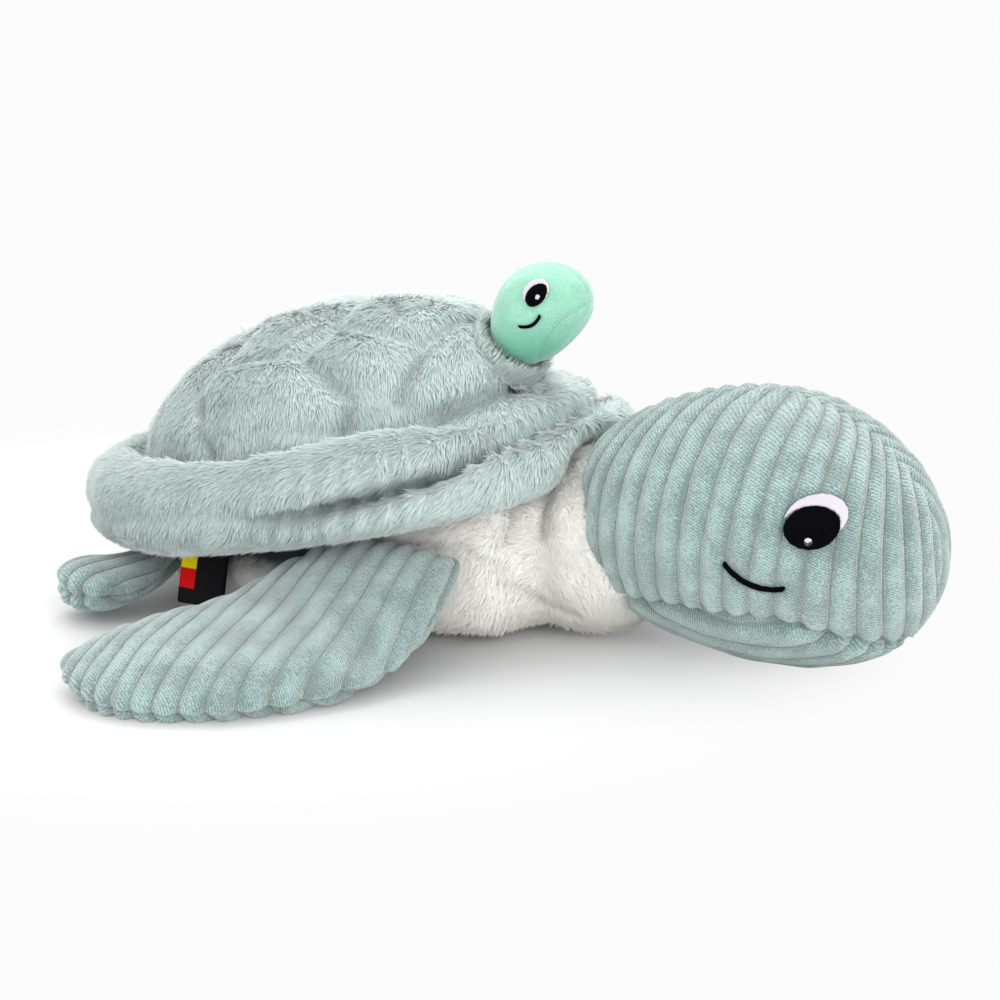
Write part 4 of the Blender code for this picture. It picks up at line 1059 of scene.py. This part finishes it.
class PLUSHTURTLE_OT_shell(bpy.types.Operator):
    """Make the quilted fur dome and the stuffed fur brim"""

    bl_idname = "plush_turtle.shell"
    bl_label = "Shell"

    def execute(self, context):
        cloth = context.scene.plush_turtle_cloth
        tuft = tuft_shape("fur_tuft", cloth.fur_length, FUR_TUFT_WIDTH)
        self.make_dome(tuft, cloth)
        self.make_brim(tuft, cloth)
        bpy.data.objects.remove(tuft, do_unlink=True)
        return {"FINISHED"}

    def make_dome(self, tuft, cloth):
        """The dome, drawn in at its quilting and fuller at its crown and at the foot of its front."""
        nodes = ("shell_dome_cover", "shell_dome_stuffing")
        mesh = stuffed_skin("shell_dome", nodes, 0.0026, 0)
        seams = [(side, 0.0030, 0.0042) for line in DOME_SEAMS for side in (line, mirrored(line))]
        seams += [(side, 0.0075, 0.0045) for side in (DOME_CREASE, mirrored(DOME_CREASE))]
        points = points_of(mesh)
        ahead = ramp(points[:, 0], -0.02, 0.05)
        below = np.clip((0.104 - points[:, 2] - 0.14 * np.abs(points[:, 1])) / 0.006, 0, 1)
        crown = ramp(points[:, 2], 0.090, 0.030)
        room = distance_to(points, *BABY_HEAD_SIDES) - 0.002
        puff = np.minimum(np.maximum(0.0045 * crown, 0.006 * ahead * below), room.clip(0, 1))
        nearest = tucked(mesh, seams, 0.0010, 9, puff)
        shown = points[:, 2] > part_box(nodes[0])[0].z + 0.014
        self.dress(mesh, "shell_dome", nodes, nearest, shown, DOME_FUR, tuft, cloth)

    def make_brim(self, tuft, cloth):
        """The brim, gathered along the crease on its top and full above it on the right side."""
        nodes = ("brim_upper_cover", "brim_under_cover", "brim_stuffing")
        others = (*HEAD_SIDES, "shell_dome_cover", "body_back_panel")
        mesh = stuffed_skin("shell_brim", nodes, 0.0026, 0.003, others)
        points, normals = points_of(mesh), normals_of(mesh)
        seam, _, _ = seam_distance(points, nodes[:2])
        crease = np.minimum(distance_to_line(points, BRIM_CREASE),
                            distance_to_line(points, mirrored(BRIM_CREASE)))
        front = ramp(points[:, 0], -0.03, 0.06)
        turn = np.arctan2(points[:, 1], points[:, 0] + 0.02)
        gather = 0.5 + 0.5 * np.sin(turn * 62 + 4 * bumps(points, 0.03, 4))
        tuck = 0.0075 * near(crease, 0.0040) + 0.0022 * gather * near(crease, 0.014)
        tuck = tuck * front + 0.0020 * near(seam, 0.0050) * (1 - front)
        room = distance_to(points, *HEAD_SIDES) - 0.002
        crease_x, _, crease_z = np.array(BRIM_CREASE).T
        over = ramp(points[:, 2], np.interp(points[:, 0], crease_x, crease_z), 0.005)
        puff = 0.0085 * front * over * ramp(room, 0, 0.012)
        puff *= np.interp(points[:, 1], (-0.015, 0.030), (1, 0.1))
        height = 0.0014 * bumps(points, 0.026, 6) - tuck + puff
        set_points(mesh, points + normals * height[:, None])
        crease = np.where(front > 0.2, crease, NO_SEAM)
        shown = distance_to(points, "shell_dome_cover") > 0.003
        self.dress(mesh, "shell_brim", nodes, crease, shown, BRIM_FUR, tuft, cloth)

    def dress(self, mesh, name, nodes, seam, shown, fur, tuft, cloth):
        """Turn a skin into a piece with fur wherever it shows."""
        points = points_of(mesh) - normals_of(mesh) * FUR_GROUND
        set_points(mesh, on_floor(points))
        # the seam distance also gives the painted shade along the quilting and the crease
        set_values(mesh, "seam", seam)
        make_piece(name, mesh, "torso", materials()["shell fur"], nodes)
        valley = near(seam, 0.0030)
        room = distance_to(points, *fur["gives_way_to"])
        length = np.clip(room / cloth.fur_length, 0.2, 1) * (1 - 0.35 * valley)
        set_values(mesh, "pile", length)
        set_values(mesh, "growth", shown * ramp(room, 0, 0.003))
        # painted shade in the creases, as strong as the part's crease entry says
        set_values(mesh, "shadow", fur["crease"] * valley)
        way = np.tile(fur["flow"], (len(points), 1))
        way[:, 1] *= np.sign(points[:, 1])
        comb(mesh, way, fur["lift"], 0.75, fur["seed"], fur["locks"])
        grow_fur(f"{name}_fur", mesh, tuft, cloth.fur_density, 0.14, fur["seed"],
                 materials()["shell tufts"], "torso", 5)


class PLUSHTURTLE_OT_baby(bpy.types.Operator):
    """Make the velour baby and the lining of its pocket"""

    bl_idname = "plush_turtle.baby"
    bl_label = "Baby and pocket"

    def execute(self, context):
        self.make_head()
        self.make_body()
        self.make_pocket(context.scene.plush_turtle_cloth)
        return {"FINISHED"}

    def make_head(self):
        """The baby's head, drawn in at its seams, with painted shade towards its neck."""
        nodes = (*BABY_HEAD_SIDES, "baby_chin_gusset", "baby_head_stuffing")
        mesh = stuffed_skin("baby_head_plush", nodes, 0.0013, 0)
        points, normals = points_of(mesh), normals_of(mesh)
        seam, _, _ = seam_distance(points, nodes[:3])
        set_points(mesh, points - normals * (0.0004 * near(seam, 0.0012))[:, None])
        set_values(mesh, "seam", seam)
        low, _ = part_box("baby_head_stuffing")
        # painted shade on the lower part of the baby's head
        set_values(mesh, "shadow", np.clip((low.z + 0.020 - points[:, 2]) / 0.020, 0, 0.9))
        make_piece("baby_head_plush", mesh, "baby", materials()["velour"], nodes)

    def make_body(self):
        """The plain lower half of the baby, which sits in the pocket."""
        nodes = ("baby_body_cover", "baby_body_stuffing")
        mesh = stuffed_skin("baby_body_plush", nodes, 0.0016, 0)
        set_values(mesh, "seam", np.full(len(mesh.vertices), 1.0))
        make_piece("baby_body_plush", mesh, "baby", materials()["velour"], nodes)

    def make_pocket(self, cloth):
        """The lining, with a ring of fur at its lip that stands up round the baby."""
        mesh = remeshed(joined_nodes(("pocket_lining",)), 0.0010)
        set_values(mesh, "seam", np.full(len(mesh.vertices), 1.0))
        make_piece("pocket_sack", mesh, "torso", materials()["shell fur"], ("pocket_lining",))
        tuft = tuft_shape("lip_tuft", cloth.fur_length, PLUSH_TUFT_WIDTH)
        points, normals = points_of(mesh), normals_of(mesh)
        axis = np.array(next(j for j in frame["joints"] if j["name"] == "baby_pull")["axis"])
        along = points @ axis
        set_values(mesh, "growth", ramp(along - along.max(), -0.016, 0.002))
        room = distance_to(points, *BABY_HEAD_SIDES)
        set_values(mesh, "pile", np.clip(room / cloth.fur_length + 0.15, 0.3, 1))
        set_values(mesh, "shadow", np.zeros(len(points)))
        set_values(mesh, "comb", unit(axis + normals * 0.25))
        grow_fur("pocket_fur", mesh, tuft, cloth.fur_density * 1.3, 0.25, 51,
                 materials()["shell tufts"], "torso")
        bpy.data.objects.remove(tuft, do_unlink=True)


class PLUSHTURTLE_OT_faces(bpy.types.Operator):
    """Embroider the eyes and mouths of mother and baby"""

    bl_idname = "plush_turtle.faces"
    bl_label = "Faces"

    def execute(self, context):
        for prefix, body, voxel, swell in (
                ("", "head", 0.0004, 0.0003), ("baby_", "baby", 0.0002, 0.0001)):
            for side_name in SIDES.values():
                for part, thread, shift, lift in STITCHES:
                    node = f"{prefix}{part}_{side_name}"
                    mesh = smoothed(remeshed(joined_nodes((node,)), voxel), 5)
                    points = points_of(mesh) + normals_of(mesh) * swell
                    if body == "head":
                        points = self.on_cheek(points, part, shift, lift)
                    set_points(mesh, points)
                    make_piece(f"{node}_stitches", mesh, body, materials()[thread], (node,))
        return {"FINISHED"}

    def on_cheek(self, points, part, shift, lift):
        """Move some of the mother's stitches up and out from the curve of her cheek."""
        low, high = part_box("head_stuffing")
        middle, half = np.array((low + high) / 2), np.array((high - low) / 2)
        out = (points.mean(0) - middle) / half ** 2
        out /= np.linalg.norm(out)
        up = np.array((0, 0, 1)) - out * out[2]
        up /= np.linalg.norm(up)
        rise = np.full(len(points), shift)
        if part == "eye_white":
            height = points @ up
            rise += 0.22 * (height.max() - height)
        if part == "eye_glint":
            points = points - np.outer(0.6 * (points - points.mean(0)) @ out, out)
        return points + (np.outer(rise, up) + out * lift)


class PLUSHTURTLE_OT_label(bpy.types.Operator):
    """Make the woven side label, a ribbon folded at its lower edge"""

    bl_idname = "plush_turtle.label"
    bl_label = "Side label"

    def execute(self, context):
        low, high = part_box("side_label")
        solid = points_of(joined_nodes(("side_label",)))
        middle = solid.mean(0)
        axes = np.linalg.svd(solid - middle)[2]
        down = axes[0] * -np.sign(axes[0][2])
        out = axes[2] * -np.sign(axes[2][1])
        drop = np.ptp(solid @ down)
        length = 2 * drop + math.pi * LABEL_FOLD - 2 * LABEL_FOLD
        mesh, share = self.flat_ribbon()
        depth, offset = self.folded(share, drop, length)
        top = middle - down * drop / 2
        placed = top + np.outer(depth, down) + np.outer(offset, out)
        placed[:, 0] = low.x + share[:, 0] * (high.x - low.x)
        set_points(mesh, placed)
        item = new_object("ribbon", mesh)
        step = item.modifiers.new("Thick", "SOLIDIFY")
        step.thickness, step.offset = LABEL_THICKNESS, 0
        label = make_piece("side_label_ribbon", evaluated_mesh(item), "label",
                           materials()["woven label"], ("side_label",))
        return {"FINISHED"}

    def flat_ribbon(self):
        """A grid, and where each of its points lies across and along the ribbon, from 0 to 1."""
        shape = bmesh.new()
        bmesh.ops.create_grid(shape, x_segments=16, y_segments=64, size=0.5)
        mesh = bpy.data.meshes.new("ribbon")
        shape.to_mesh(mesh)
        shape.free()
        return mesh, points_of(mesh) + 0.5

    def folded(self, share, drop, length):
        """How far down and how far out each point is, on two leaves joined by a round fold."""
        run = share[:, 1] * length
        leaf = drop - LABEL_FOLD
        turn = np.clip((run - leaf) / LABEL_FOLD, 0, math.pi)
        depth = np.where(run < leaf, run, leaf + LABEL_FOLD * np.sin(turn))
        depth = np.where(turn >= math.pi, length - run, depth)
        curl = 0.0010 * np.sin(math.pi * share[:, 0]) * depth / drop
        return depth, LABEL_FOLD * np.cos(turn) + curl


class PLUSHTURTLE_OT_stage(bpy.types.Operator):
    """Make the pale floor, the lamps, the sky and the camera"""

    bl_idname = "plush_turtle.stage"
    bl_label = "Stage"

    def execute(self, context):
        stage = context.scene.plush_turtle_stage
        self.make_floor()
        self.make_sky(stage.sky)
        for name, place, size, power in (
                ("key_lamp", (-0.55, -1.25, 1.15), 1.1, stage.key),
                ("top_lamp", (-0.45, 0.55, 1.30), 1.4, stage.top),
                ("fill_lamp", (1.05, -0.85, 0.45), 0.9, stage.fill)):
            self.make_lamp(name, place, size, power)
        self.make_camera(stage)
        context.scene.view_settings.view_transform = "Standard"
        return {"FINISHED"}

    def make_floor(self):
        """A floor that keeps the turtle's shadow and fades into the background around it."""
        shape = bmesh.new()
        bmesh.ops.create_grid(shape, x_segments=2, y_segments=2, size=6)
        mesh = bpy.data.meshes.new("floor")
        shape.to_mesh(mesh)
        shape.free()
        floor = new_object("floor", mesh)
        made = bpy.data.materials.new("pale floor")
        made.use_nodes = True
        tree = made.node_tree
        tree.nodes.remove(tree.nodes["Principled BSDF"])
        lit = tree.nodes.new("ShaderNodeBsdfDiffuse")
        path = tree.nodes.new("ShaderNodeLightPath")
        colour = blended(tree, path.outputs["Is Camera Ray"], (FLOOR_BOUNCE,) * 3, (FLOOR,) * 3)
        tree.links.new(colour, lit.inputs["Color"])
        plain = tree.nodes.new("ShaderNodeEmission")
        plain.inputs["Color"].default_value = (BACKGROUND, BACKGROUND, BACKGROUND, 1)
        away = tree.nodes.new("ShaderNodeVectorMath")
        away.operation = "DISTANCE"
        away.inputs[1].default_value = (-0.06, 0, 0)
        tree.links.new(object_place(tree), away.inputs[0])
        fade = mapped(tree, away.outputs["Value"], 0.12, 0.30)
        fade = maths(tree, "MULTIPLY", fade, path.outputs["Is Camera Ray"])
        mixed = tree.nodes.new("ShaderNodeMixShader")
        tree.links.new(fade, mixed.inputs["Fac"])
        tree.links.new(lit.outputs[0], mixed.inputs[1])
        tree.links.new(plain.outputs[0], mixed.inputs[2])
        tree.links.new(mixed.outputs[0], tree.nodes["Material Output"].inputs["Surface"])
        mesh.materials.append(made)

    def make_sky(self, strength):
        """Even light, seen as the background."""
        world = bpy.data.worlds.new("sky")
        world.use_nodes = True
        tree = world.node_tree
        sky = tree.nodes["Background"]
        path = tree.nodes.new("ShaderNodeLightPath")
        seen = maths(tree, "MAXIMUM", path.outputs["Is Camera Ray"], path.outputs["Is Glossy Ray"])
        level = maths(tree, "MULTIPLY_ADD", seen, BACKGROUND - strength, strength)
        tree.links.new(level, sky.inputs["Strength"])
        sky.inputs["Color"].default_value = (1, 1, 1, 1)
        bpy.context.scene.world = world

    def make_lamp(self, name, place, size, power):
        """A soft square lamp that looks at the turtle."""
        light = bpy.data.lights.new(name, "AREA")
        light.size = size
        light.energy = power
        lamp = bpy.data.objects.new(name, light)
        bpy.context.scene.collection.objects.link(lamp)
        lamp.location = place
        lamp.rotation_mode = "QUATERNION"
        aim = Vector((0.03, 0, 0.05)) - Vector(place)
        lamp.rotation_quaternion = aim.to_track_quat("-Z", "Y")

    def make_camera(self, stage):
        """The camera, aimed so that the turtle sits a little above the middle of the frame."""
        data = bpy.data.cameras.new("camera")
        data.lens = stage.lens
        data.sensor_width = 36
        camera = bpy.data.objects.new("camera", data)
        bpy.context.scene.collection.objects.link(camera)
        across, up = math.cos(stage.elevation), math.sin(stage.elevation)
        back = Vector((math.sin(stage.yaw) * across, -math.cos(stage.yaw) * across, up))
        aim = Vector((0.05, 0, 0.0534))
        view_up = back.cross(Vector((math.cos(stage.yaw), math.sin(stage.yaw), 0)))
        aim -= view_up * 0.0034
        camera.location = aim + back * stage.distance
        camera.rotation_mode = "QUATERNION"
        camera.rotation_quaternion = back.to_track_quat("Z", "Y")
        bpy.context.scene.camera = camera


class PLUSHTURTLE_PT_panel(bpy.types.Panel):
    """Buttons for the turtle's pieces and fields for its sizes and colours"""

    bl_idname = "PLUSHTURTLE_PT_panel"
    bl_label = "Plush turtle"
    bl_space_type = "VIEW_3D"
    bl_region_type = "UI"
    bl_category = "Plush turtle"

    def draw(self, context):
        for group in (context.scene.plush_turtle_cloth, context.scene.plush_turtle_stage):
            box = self.layout.box()
            for field in group.__annotations__:
                box.prop(group, field)
        for operator in OPERATORS:
            self.layout.operator(operator.bl_idname)


GROUPS = (PlushTurtleCloth, PlushTurtleStage)
OPERATORS = (
    PLUSHTURTLE_OT_stage,
    PLUSHTURTLE_OT_body,
    PLUSHTURTLE_OT_head,
    PLUSHTURTLE_OT_faces,
    PLUSHTURTLE_OT_flippers,
    PLUSHTURTLE_OT_shell,
    PLUSHTURTLE_OT_baby,
    PLUSHTURTLE_OT_label,
)


def register():
    for item in (*GROUPS, *OPERATORS, PLUSHTURTLE_PT_panel):
        bpy.utils.register_class(item)
    bpy.types.Scene.plush_turtle_cloth = bpy.props.PointerProperty(type=PlushTurtleCloth)
    bpy.types.Scene.plush_turtle_stage = bpy.props.PointerProperty(type=PlushTurtleStage)


def unregister():
    del bpy.types.Scene.plush_turtle_stage
    del bpy.types.Scene.plush_turtle_cloth
    for item in (PLUSHTURTLE_PT_panel, *reversed(OPERATORS), *reversed(GROUPS)):
        bpy.utils.unregister_class(item)


def main():
    register()
    for operator in OPERATORS:
        group, name = operator.bl_idname.split(".")
        getattr(getattr(bpy.ops, group), name)()


if __name__ == "__main__":
    main()
